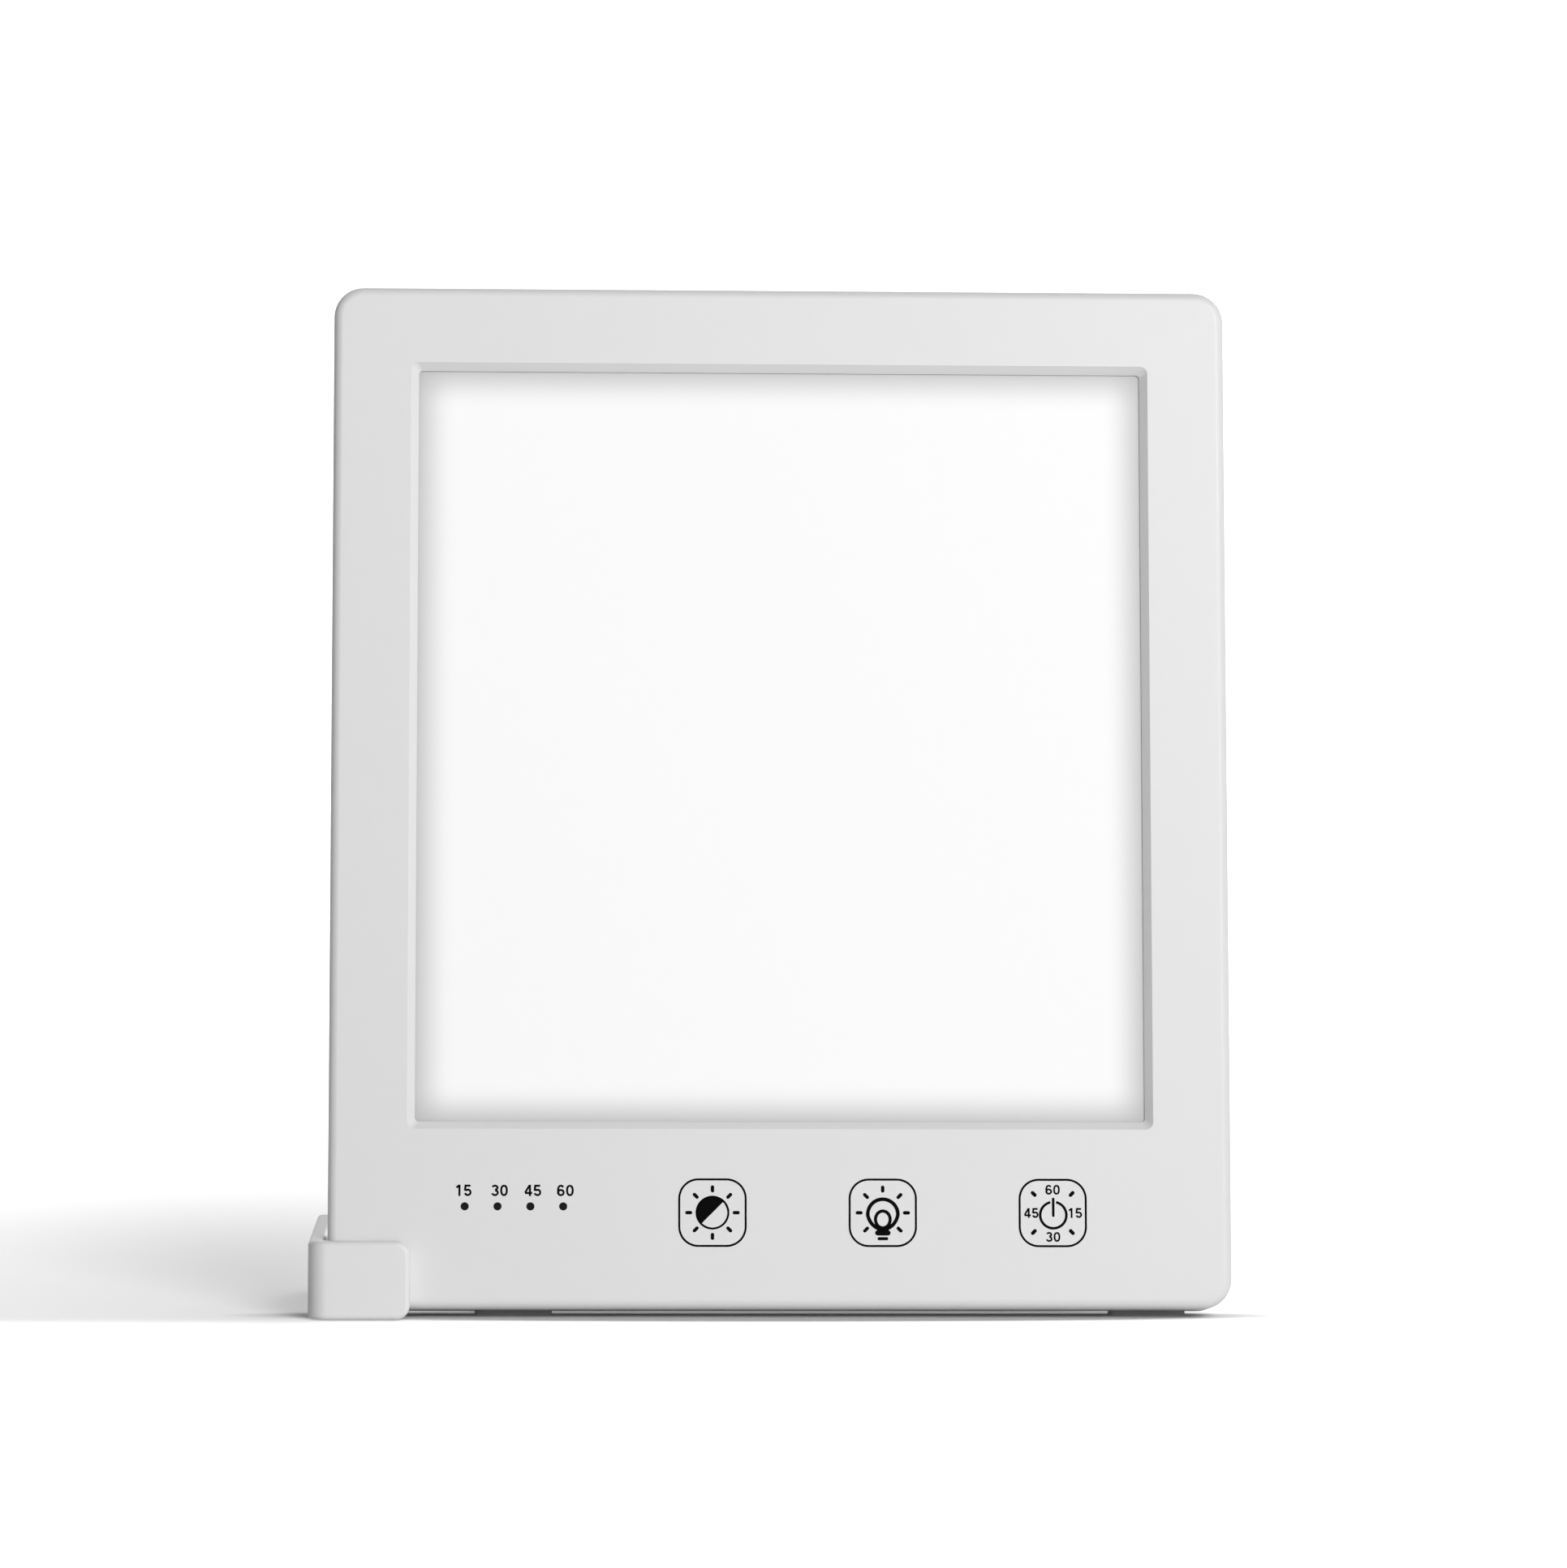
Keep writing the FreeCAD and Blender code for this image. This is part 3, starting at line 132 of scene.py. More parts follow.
# %% Sweep of table and wall, in metres
SWEEP_HALF_WIDTH = 4.0
SWEEP_FRONT = -3.0
BEND_START = 1.2
BEND_RADIUS = 1.0
SWEEP_TOP = 4.0
FLAT_POINTS = 24
BEND_POINTS = 24
WALL_POINTS = 8
SWEEP_COLUMNS = 16


def grid_mesh(name, points):
    """A mesh from an array of points (rows, columns, 3); quads join neighbours."""
    rows, columns = points.shape[:2]
    a, b = np.meshgrid(np.arange(rows - 1), np.arange(columns - 1), indexing="ij")
    c, d = a + 1, b + 1
    quads = np.stack([a * columns + b, c * columns + b, c * columns + d, a * columns + d], -1)
    mesh = bpy.data.meshes.new(name)
    mesh.from_pydata(points.reshape(-1, 3), [], quads.reshape(-1, 4))
    mesh.polygons.foreach_set("use_smooth", np.ones(len(mesh.polygons), bool))
    mesh.update()
    return mesh


def add_object(name, mesh, material=None):
    """Links a mesh at the origin, with one finish if it is given."""
    thing = bpy.data.objects.new(name, mesh)
    bpy.context.scene.collection.objects.link(thing)
    if material is not None:
        mesh.materials.clear()
        mesh.materials.append(material)
    return thing


def sweep_points():
    """Profile by length: flat to the bend, a quarter circle, then straight up."""
    run = np.linspace(SWEEP_FRONT, BEND_START, FLAT_POINTS)
    flat = np.stack([run, np.zeros(FLAT_POINTS)], -1)
    angle = np.linspace(0, math.pi / 2, BEND_POINTS)[1:]
    curve = np.stack([BEND_START + BEND_RADIUS * np.sin(angle),
                      BEND_RADIUS * (1 - np.cos(angle))], -1)
    rise = np.linspace(BEND_RADIUS, SWEEP_TOP, WALL_POINTS)[1:]
    wall = np.stack([np.full(len(rise), BEND_START + BEND_RADIUS), rise], -1)
    profile = np.concatenate([flat, curve, wall])
    x = np.linspace(SWEEP_HALF_WIDTH, -SWEEP_HALF_WIDTH, SWEEP_COLUMNS)
    points = np.empty((SWEEP_COLUMNS, len(profile), 3))
    points[..., 0] = x[:, None]
    points[..., 1:] = profile[None]
    return points


# %% [markdown]
# ## The table's white
# The lamp is pictured on pure white, yet its foot still throws a soft shade to the left. A
# plain white table would turn grey away from the lights. So close to the lamp the table shows
# its own light and shade, and further out it glows for the camera, and for what mirrors or
# lets light through. An oval under the panel has no glow, so the contact stays dark. There
# the table's own shade, set against the glow around it, makes a painted contact shadow.

# %% White that stays white behind the lamp
TABLE_TONE = 0.74
TABLE_ROUGHNESS = 0.9
TABLE_SPECULAR = 0.1
GLOW_LEFT = 0.36
GLOW_RIGHT = 0.85
LEFT_FROM = -0.14
LEFT_TO = 0.06
GLOW_FRONT = 0.85
FRONT_FROM = -0.030
FRONT_TO = -0.055
# The oval under the panel has no glow: it is painted contact shade.
PAINTED_SHADE_X = 0.115
PAINTED_SHADE_Y = 0.014
PAINTED_SHADE_PLACE = (0.0, -0.024, 0.0)
PAINTED_SHADE_INNER = 0.85
PAINTED_SHADE_OUTER = 1.15
GLOW_FAR = 1.0
GLOW_FROM = 0.06
GLOW_TO = 0.56


def new_material(name):
    """A material with its nodes, its links and its main shader."""
    material = bpy.data.materials.new(name)
    material.use_nodes = True
    nodes = material.node_tree.nodes
    shader = nodes["Principled BSDF"]
    return material, nodes, material.node_tree.links, shader


def math_node(nodes, links, operation, first, second=0.0):
    """One arithmetic step; either input may be a number or a socket."""
    node = nodes.new("ShaderNodeMath")
    node.operation = operation
    for socket, value in zip(node.inputs, (first, second)):
        if isinstance(value, (int, float)):
            socket.default_value = value
        else:
            links.new(value, socket)
    return node.outputs[0]


def ramp_node(nodes, links, value, from_low, from_high, to_low, to_high):
    """A smooth step from one level to another; either level may be a socket."""
    node = nodes.new("ShaderNodeMapRange")
    node.interpolation_type = "SMOOTHSTEP"
    node.inputs["From Min"].default_value = from_low
    node.inputs["From Max"].default_value = from_high
    for socket, level in (("To Min", to_low), ("To Max", to_high)):
        if isinstance(level, (int, float)):
            node.inputs[socket].default_value = level
        else:
            links.new(level, node.inputs[socket])
    links.new(value, node.inputs["Value"])
    return node.outputs["Result"]


def table_material():
    """Diffuse white; the glow is full far away, less behind to the left, nil under the panel (painted contact
    shade).
    """
    material, nodes, links, shader = new_material("studio_white")
    shader.inputs["Base Color"].default_value = (TABLE_TONE, TABLE_TONE, TABLE_TONE, 1)
    shader.inputs["Roughness"].default_value = TABLE_ROUGHNESS
    shader.inputs["Specular IOR Level"].default_value = TABLE_SPECULAR
    shader.inputs["Emission Color"].default_value = (1, 1, 1, 1)
    place = nodes.new("ShaderNodeTexCoord")
    far = nodes.new("ShaderNodeVectorMath")
    far.operation = "LENGTH"
    links.new(place.outputs["Object"], far.inputs[0])
    parts = nodes.new("ShaderNodeSeparateXYZ")
    links.new(place.outputs["Object"], parts.inputs["Vector"])
    near = ramp_node(nodes, links, parts.outputs["X"], LEFT_FROM, LEFT_TO, GLOW_LEFT, GLOW_RIGHT)
    near = ramp_node(nodes, links, parts.outputs["Y"], FRONT_FROM, FRONT_TO, near, GLOW_FRONT)
    level = ramp_node(nodes, links, far.outputs["Value"], GLOW_FROM, GLOW_TO, near, GLOW_FAR)
    # Inside this oval under the panel the glow is taken away, which paints a darker contact shade.
    shade = nodes.new("ShaderNodeMapping")
    shade.vector_type = "TEXTURE"
    shade.inputs["Location"].default_value = PAINTED_SHADE_PLACE
    shade.inputs["Scale"].default_value = (PAINTED_SHADE_X, PAINTED_SHADE_Y, 1.0)
    links.new(place.outputs["Object"], shade.inputs["Vector"])
    inside = nodes.new("ShaderNodeVectorMath")
    inside.operation = "LENGTH"
    links.new(shade.outputs["Vector"], inside.inputs[0])
    outside_painted_shade = ramp_node(nodes, links, inside.outputs["Value"], PAINTED_SHADE_INNER,
                        PAINTED_SHADE_OUTER, 0.0, 1.0)
    path = nodes.new("ShaderNodeLightPath")
    seen = math_node(nodes, links, "MAXIMUM", path.outputs["Is Camera Ray"],
                     path.outputs["Is Glossy Ray"])
    seen = math_node(nodes, links, "MAXIMUM", seen, path.outputs["Is Transmission Ray"])
    glow = math_node(nodes, links, "MULTIPLY", seen, level)
    glow = math_node(nodes, links, "MULTIPLY", glow, outside_painted_shade)
    links.new(glow, shader.inputs["Emission Strength"])
    return material


table = add_object("studio_sweep", grid_mesh("studio_sweep", sweep_points()), table_material())
print("table and wall", len(table.data.polygons), "faces")

# %% [markdown]
# ## Lights
# The left edges of the lamp fall off into grey, so most of the light comes from the right. One
# large soft lamp stands in front at the upper right, and a weak one behind at the right lifts
# the back. The surround fills in: it is bright at the right and darker at the left and at the
# top. A single bare lamp would give hard edges to the shade, which the picture doesn't have.

# %% Lamps
WORLD_LEFT = 0.12
WORLD_RIGHT = 0.72
WORLD_TOP = 0.35
WORLD_POWER = 2.0
KEY_WATTS = 46.0
KEY_PLACE = (0.90, -2.28, 1.06)
KEY_SIZE = 1.25
BACK_WATTS = 9.0
BACK_PLACE = (0.75, 1.75, 0.8)
BACK_SIZE = 1.2
LAMP_AIM = (0.0, 0.0, 0.1)


def area_lamp(name, place, size, watts):
    """A round soft lamp that the camera doesn't see, turned towards the panel."""
    data = bpy.data.lights.new(name, "AREA")
    data.shape = "DISK"
    data.size = size
    data.energy = watts
    lamp = bpy.data.objects.new(name, data)
    away = Vector(place) - Vector(LAMP_AIM)
    lamp.visible_camera = False
    lamp.matrix_world = (Matrix.Translation(Vector(place))
                         @ away.to_track_quat("Z", "Y").to_matrix().to_4x4())
    bpy.context.scene.collection.objects.link(lamp)
    return lamp


def world_light():
    """Strength grows with the square of the way from left to right, and falls to the top.

    The camera itself sees plain white.
    """
    world = bpy.data.worlds.new("studio")
    world.use_nodes = True
    nodes, links = world.node_tree.nodes, world.node_tree.links
    background = nodes["Background"]
    background.inputs["Color"].default_value = (1, 1, 1, 1)
    way = nodes.new("ShaderNodeTexCoord")
    parts = nodes.new("ShaderNodeSeparateXYZ")
    links.new(way.outputs["Generated"], parts.inputs["Vector"])
    side = math_node(nodes, links, "MULTIPLY_ADD", parts.outputs["X"], 0.5)
    side.node.inputs[2].default_value = 0.5
    side = math_node(nodes, links, "POWER", side, WORLD_POWER)
    level = math_node(nodes, links, "MULTIPLY_ADD", side, WORLD_RIGHT - WORLD_LEFT)
    level.node.inputs[2].default_value = WORLD_LEFT
    high = math_node(nodes, links, "MAXIMUM", parts.outputs["Z"], 0.0)
    high = math_node(nodes, links, "MULTIPLY_ADD", high, WORLD_TOP - 1.0)
    high.node.inputs[2].default_value = 1.0
    level = math_node(nodes, links, "MULTIPLY", level, high)
    path = nodes.new("ShaderNodeLightPath")
    level = math_node(nodes, links, "MAXIMUM", level, path.outputs["Is Camera Ray"])
    links.new(level, background.inputs["Strength"])
    bpy.context.scene.world = world


world_light()
area_lamp("key", KEY_PLACE, KEY_SIZE, KEY_WATTS)
area_lamp("back", BACK_PLACE, BACK_SIZE, BACK_WATTS)
print("lamps in watts", KEY_WATTS, BACK_WATTS)
bpy.context.scene.view_settings.view_transform = "Standard"

# %% [markdown]
# ## Finishes
# Moulded plastic is never one flat colour. Its skin has a fine spark-eroded grain that breaks
# up the gloss, and its tone drifts a little over the part. Both are noise on Object
# coordinates, so the grain keeps its real size in millimetres wherever it is used. One
# builder makes all plain finishes; only window, boards and film need their own.

# %% One builder for plain finishes
GRAIN_DETAIL = 3.0
DRIFT_SCALE = 28.0
DRIFT_DETAIL = 2.0
LEAST_ROUGHNESS = 0.02


def grain_finish(name, colour, roughness, metallic=0.0, grain_mm=0.35, depth_mm=0.004,
                 drift=0.02, rough_drift=0.05, specular=0.5):
    """Noise of grain size drives bump and gloss; broad noise drives the tone."""
    material, nodes, links, shader = new_material(name)
    shader.inputs["Metallic"].default_value = metallic
    shader.inputs["Specular IOR Level"].default_value = specular
    place = nodes.new("ShaderNodeTexCoord")
    fine = nodes.new("ShaderNodeTexNoise")
    fine.inputs["Scale"].default_value = 1.0 / (grain_mm * MM)
    fine.inputs["Detail"].default_value = GRAIN_DETAIL
    broad = nodes.new("ShaderNodeTexNoise")
    broad.inputs["Scale"].default_value = DRIFT_SCALE
    broad.inputs["Detail"].default_value = DRIFT_DETAIL
    for noise in (fine, broad):
        links.new(place.outputs["Object"], noise.inputs["Vector"])
    tone = nodes.new("ShaderNodeMix")
    tone.data_type = "RGBA"
    tone.inputs["A"].default_value = tuple(c * (1 - drift) for c in colour) + (1,)
    tone.inputs["B"].default_value = tuple(min(1.0, c * (1 + drift)) for c in colour) + (1,)
    links.new(broad.outputs["Fac"], tone.inputs["Factor"])
    links.new(tone.outputs["Result"], shader.inputs["Base Color"])
    gloss = nodes.new("ShaderNodeMapRange")
    gloss.inputs["To Min"].default_value = max(LEAST_ROUGHNESS, roughness - rough_drift)
    gloss.inputs["To Max"].default_value = min(1.0, roughness + rough_drift)
    links.new(fine.outputs["Fac"], gloss.inputs["Value"])
    links.new(gloss.outputs["Result"], shader.inputs["Roughness"])
    bump = nodes.new("ShaderNodeBump")
    bump.inputs["Strength"].default_value = 1.0
    bump.inputs["Distance"].default_value = depth_mm * MM
    links.new(fine.outputs["Fac"], bump.inputs["Height"])
    links.new(bump.outputs["Normal"], shader.inputs["Normal"])
    return material


def srgb(level):
    """The linear value of an sRGB grey level from 0 to 255."""
    c = level / 255.0
    return c / 12.92 if c <= 0.04045 else ((c + 0.055) / 1.055) ** 2.4


def grey(level):
    """The same linear value three times."""
    return (srgb(level),) * 3


# %% Table of plain finishes, by the slots of the record
PLAIN = {
    "casing": dict(colour=grey(228), roughness=0.42, grain_mm=0.30, depth_mm=0.004, drift=0.006),
    "foot": dict(colour=grey(231), roughness=0.40, grain_mm=0.30, depth_mm=0.004, drift=0.006),
    "gasket": dict(colour=grey(120), roughness=0.9, grain_mm=0.5, depth_mm=0.03, drift=0.08),
    "reflector": dict(colour=grey(246), roughness=0.35, grain_mm=1.0, depth_mm=0.002),
    "led": dict(colour=(0.90, 0.72, 0.22), roughness=0.35, grain_mm=0.2, drift=0.05),
    "component": dict(colour=(0.012, 0.012, 0.013), roughness=0.45, grain_mm=0.2, drift=0.1),
    "socket": dict(colour=(0.80, 0.77, 0.66), roughness=0.4, drift=0.02),
    "screw": dict(colour=(0.62, 0.62, 0.60), roughness=0.30, metallic=1.0, grain_mm=0.15),
    "lead": dict(colour=(0.42, 0.015, 0.012), roughness=0.5, grain_mm=0.4),
    "ribbon": dict(colour=grey(120), roughness=0.5, grain_mm=0.4),
    "pad": dict(colour=grey(40), roughness=0.95, grain_mm=0.4, depth_mm=0.05, drift=0.15),
    "lens": dict(colour=(0.002, 0.002, 0.002), roughness=0.3, grain_mm=0.6, specular=0.15),
    "inlet": dict(colour=(0.012, 0.012, 0.013), roughness=0.4, grain_mm=0.25, drift=0.1),
    "contact": dict(colour=(0.72, 0.68, 0.58), roughness=0.22, metallic=1.0, grain_mm=0.1),
    "steel": dict(colour=(0.50, 0.50, 0.51), roughness=0.34, metallic=1.0, grain_mm=0.12),
    "washer": dict(colour=(0.78, 0.78, 0.74), roughness=0.4, drift=0.02),
    "rubber": dict(colour=grey(185), roughness=0.8, grain_mm=0.35, depth_mm=0.02, drift=0.1),
}
finishes = {slot: grain_finish(slot, **how) for slot, how in PLAIN.items()}
print("plain finishes", len(finishes))

# %% [markdown]
# ## The lit window
# The opal plate glows evenly in the middle and falls off over its last 10 mm, because the
# light packages stand back from the tray's edge. Real lamps behind the plate would need long
# renders to come out smooth. So the plate itself glows, and its level is worked out from the
# distance to each edge of the opening, in panel sizes.

# %% Glow of the diffuser
WINDOW_SIDE = 20.0
WINDOW_LOW = 43.4
WINDOW_HIGH = 220.2
GLOW_EDGE = 0.02
GLOW_REACH = 10.0
GLOW_BEHIND = 4.5
GLOW_FULL = 0.45
DIFFUSER_GREY = 190
DIFFUSER_ROUGHNESS = 0.55


def panel_frame_nodes(nodes, links):
    """Sizes in mm across, up and back from the panel's front corner, by its three axes."""
    place = nodes.new("ShaderNodeTexCoord")
    offset = nodes.new("ShaderNodeVectorMath")
    offset.operation = "SUBTRACT"
    offset.inputs[1].default_value = tuple(corner)
    links.new(place.outputs["Object"], offset.inputs[0])
    results = []
    for axis in (across_axis, up_axis, back_axis):
        dot = nodes.new("ShaderNodeVectorMath")
        dot.operation = "DOT_PRODUCT"
        dot.inputs[1].default_value = tuple(axis / MM)
        links.new(offset.outputs["Vector"], dot.inputs[0])
        results.append(dot.outputs["Value"])
    return results


def glow_material():
    """Glow = full level times a smooth step of the distance to each pair of edges."""
    material, nodes, links, shader = new_material("diffuser")
    shader.inputs["Base Color"].default_value = grey(DIFFUSER_GREY) + (1,)
    shader.inputs["Roughness"].default_value = DIFFUSER_ROUGHNESS
    shader.inputs["Emission Color"].default_value = (1.0, 1.0, 1.0, 1)
    across, up = panel_frame_nodes(nodes, links)[:2]
    gaps = [math_node(nodes, links, "SUBTRACT", across, WINDOW_SIDE),
            math_node(nodes, links, "SUBTRACT", PANEL_WIDTH - WINDOW_SIDE, across),
            math_node(nodes, links, "SUBTRACT", up, WINDOW_LOW),
            math_node(nodes, links, "SUBTRACT", WINDOW_HIGH, up)]
    level = None
    for gap in gaps:
        step = nodes.new("ShaderNodeMapRange")
        step.interpolation_type = "SMOOTHERSTEP"
        step.inputs["From Min"].default_value = -GLOW_BEHIND
        step.inputs["From Max"].default_value = GLOW_REACH
        step.inputs["To Min"].default_value = GLOW_EDGE
        step.inputs["To Max"].default_value = 1.0
        links.new(gap, step.inputs["Value"])
        value = step.outputs["Result"]
        level = value if level is None else math_node(nodes, links, "MULTIPLY", level, value)
    strength = math_node(nodes, links, "MULTIPLY", level, GLOW_FULL)
    links.new(strength, shader.inputs["Emission Strength"])
    return material


finishes["diffuser"] = glow_material()
print("glow falls off over", GLOW_REACH, "mm")

# %% [markdown]
# ## The seam
# Front and rear casing meet in a hairline round the side walls. A cut groove this fine would
# need very small faces, so the seam is a darker tone where the depth matches the split.

# %% The seam between front and rear casing
SPLIT_DEPTH = 10.0
SEAM_HALF = 0.07
SEAM_FADE = 0.16
SEAM_TONE = 0.30


def add_seam(material):
    """Darkens the tone where the depth is within half a seam of the split."""
    nodes, links = material.node_tree.nodes, material.node_tree.links
    shader = nodes["Principled BSDF"]
    back = panel_frame_nodes(nodes, links)[2]
    away = math_node(nodes, links, "SUBTRACT", back, SPLIT_DEPTH)
    away = math_node(nodes, links, "ABSOLUTE", away)
    shade = ramp_node(nodes, links, away, SEAM_HALF, SEAM_FADE, SEAM_TONE, 1.0)
    tone = nodes.new("ShaderNodeMix")
    tone.data_type = "RGBA"
    tone.blend_type = "MULTIPLY"
    tone.inputs["Factor"].default_value = 1.0
    links.new(shader.inputs["Base Color"].links[0].from_socket, tone.inputs["A"])
    links.new(shade, tone.inputs["B"])
    links.new(tone.outputs["Result"], shader.inputs["Base Color"])


add_seam(finishes["casing"])
print("seam at depth", SPLIT_DEPTH, "mm")

# %% [markdown]
# ## Film and boards
# The film behind the opal plate is clear with very fine ribs, and the boards have a green or
# white mask over their copper. Ribs and traces are too many to model, so both are patterns
# on the panel's own sizes: a sine for the ribs, and a brick pattern for the traces.

# %% Film and boards
FILM_COLOUR = (0.86, 0.88, 0.9)
FILM_ROUGHNESS = 0.2
FILM_WAVE = 12.0
FILM_RIB_MM = 0.02
TRACE_SCALE = 0.18
TRACE_WIDTH = 0.035
TRACE_MM = 0.03
SECOND_MASK = 0.9


def film_material():
    """Clear film with fine straight ribs, from a sine along the panel's width."""
    material, nodes, links, shader = new_material("film")
    shader.inputs["Base Color"].default_value = FILM_COLOUR + (1,)
    shader.inputs["Roughness"].default_value = FILM_ROUGHNESS
    across = panel_frame_nodes(nodes, links)[0]
    wave = math_node(nodes, links, "MULTIPLY", across, FILM_WAVE)
    wave = math_node(nodes, links, "SINE", wave)
    bump = nodes.new("ShaderNodeBump")
    bump.inputs["Distance"].default_value = FILM_RIB_MM * MM
    links.new(wave, bump.inputs["Height"])
    links.new(bump.outputs["Normal"], shader.inputs["Normal"])
    return material


def board_material(name, mask, trace, roughness):
    """Solder mask with paler traces: a brick pattern stands for the copper under it."""
    material, nodes, links, shader = new_material(name)
    shader.inputs["Roughness"].default_value = roughness
    across, up = panel_frame_nodes(nodes, links)[:2]
    flat = nodes.new("ShaderNodeCombineXYZ")
    links.new(across, flat.inputs["X"])
    links.new(up, flat.inputs["Y"])
    bricks = nodes.new("ShaderNodeTexBrick")
    bricks.inputs["Scale"].default_value = TRACE_SCALE
    bricks.inputs["Mortar Size"].default_value = TRACE_WIDTH
    bricks.inputs["Color1"].default_value = mask + (1,)
    bricks.inputs["Color2"].default_value = tuple(c * SECOND_MASK for c in mask) + (1,)
    bricks.inputs["Mortar"].default_value = trace + (1,)
    links.new(flat.outputs["Vector"], bricks.inputs["Vector"])
    links.new(bricks.outputs["Color"], shader.inputs["Base Color"])
    bump = nodes.new("ShaderNodeBump")
    bump.inputs["Distance"].default_value = TRACE_MM * MM
    links.new(bricks.outputs["Fac"], bump.inputs["Height"])
    links.new(bump.outputs["Normal"], shader.inputs["Normal"])
    return material


finishes["film"] = film_material()
finishes["board"] = board_material("board", (0.01, 0.10, 0.035), (0.03, 0.22, 0.08), 0.35)
finishes["board_metal"] = board_material("board_metal", (0.80, 0.80, 0.78),
                                         (0.70, 0.70, 0.68), 0.4)
print("finishes", len(finishes))

# %% [markdown]
# ## Finishes on the solids
# The record names a material slot for every piece. Giving the finish by slot, and not piece by
# piece, keeps pieces of one material alike.

# %% Every node gets its slot's finish
slot_of = {part["node"]: part["material_slot"] for part in frame["record"]["subparts"]}
for node, thing in frame["nodes"].items():
    thing.data.materials.clear()
    thing.data.materials.append(finishes[slot_of[node]])
print("nodes with a finish", len(slot_of))

# %% [markdown]
# ## Smooth skins for the moulded parts
# The solids arrive as loose triangles, which show every facet of a rounded edge. For the parts
# that are seen closely, a copy of the mesh is merged, its sharp edges are marked, and normals
# are weighted by face area, so that flat faces stay flat and fillets turn smoothly.

# %% Merged copies
SHARP_DEGREES = 28.0
MERGE_DISTANCE = 2e-6
FACE_WEIGHT = 90
SKINNED = {
    "front_bezel": "panel", "rear_cover": "panel", "foot_bracket": "foot",
    "cover_screws": "panel", "dc_inlet": "panel", "dc_inlet_pin": "panel",
    "hinge_pin": "panel", "base_feet": "panel", "indicator_lenses": "panel",
}


def smooth_skin(node, name, body):
    """A merged, smooth-shaded copy that stands for one node."""
    mesh = frame["nodes"][node].data.copy()
    mesh.name = name
    work = bmesh.new()
    work.from_mesh(mesh)
    bmesh.ops.remove_doubles(work, verts=work.verts, dist=MERGE_DISTANCE)
    limit = math.radians(SHARP_DEGREES)
    for edge in work.edges:
        edge.smooth = edge.calc_face_angle(math.pi) < limit
    for face in work.faces:
        face.smooth = True
    work.to_mesh(mesh)
    work.free()
    skin = add_object(name, mesh)
    weights = skin.modifiers.new("even_normals", "WEIGHTED_NORMAL")
    weights.keep_sharp = True
    weights.weight = FACE_WEIGHT
    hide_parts(node)
    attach(skin, body)
    print(name, len(mesh.polygons), "faces")


for node, body in SKINNED.items():
    smooth_skin(node, node + "_skin", body)

# %% [markdown]
# ## Printed signs
# The touch fields and the timer's numbers are screen printed, a few hundredths of a
# millimetre thick. Lines are bands along a path, bars and half discs are flat slabs, and all
# are closed solids: each section of a band is a small rectangle that goes round a path.

# %% Ink
INK_OUT = 0.03
INK_IN = -0.02
ink = grain_finish("printing_ink", (0.002, 0.002, 0.002), 0.6, grain_mm=0.2, depth_mm=0.001,
                   drift=0.1, specular=0.03)
CORNER_STEPS = 12
ARC_STEPS = 48
INK_MERGE = 1e-7


def path_round_box(half_w, half_h, radius):
    """Points and outward normals: four quarter circles around the box's inner corners."""
    angle = np.concatenate([np.linspace(k, k + 1, CORNER_STEPS) * math.pi / 2 for k in range(4)])
    normal = np.stack([np.cos(angle), np.sin(angle)], -1)
    quarter = np.repeat(np.arange(4), CORNER_STEPS)
    sign_x = np.where((quarter == 0) | (quarter == 3), 1, -1)
    sign_y = np.where(quarter < 2, 1, -1)
    centre = np.stack([sign_x * (half_w - radius), sign_y * (half_h - radius)], -1)
    return centre + normal * radius, normal


def path_arc(radius, start_deg, stop_deg, steps=ARC_STEPS):
    """Points at even angles on a circle; each normal is the point's own direction."""
    angle = np.radians(np.linspace(start_deg, stop_deg, steps))
    normal = np.stack([np.cos(angle), np.sin(angle)], -1)
    return normal * radius, normal


def path_ring(radius):
    """A whole circle: an arc that stops one step short of where it began."""
    return path_arc(radius, 0, 360 - 360 / ARC_STEPS)


def ink_points(flat, out):
    """Places on the panel's face for points in panel sizes, this far out of it."""
    return on_panel(flat[..., 0], flat[..., 1], np.full(flat.shape[:-1], out))


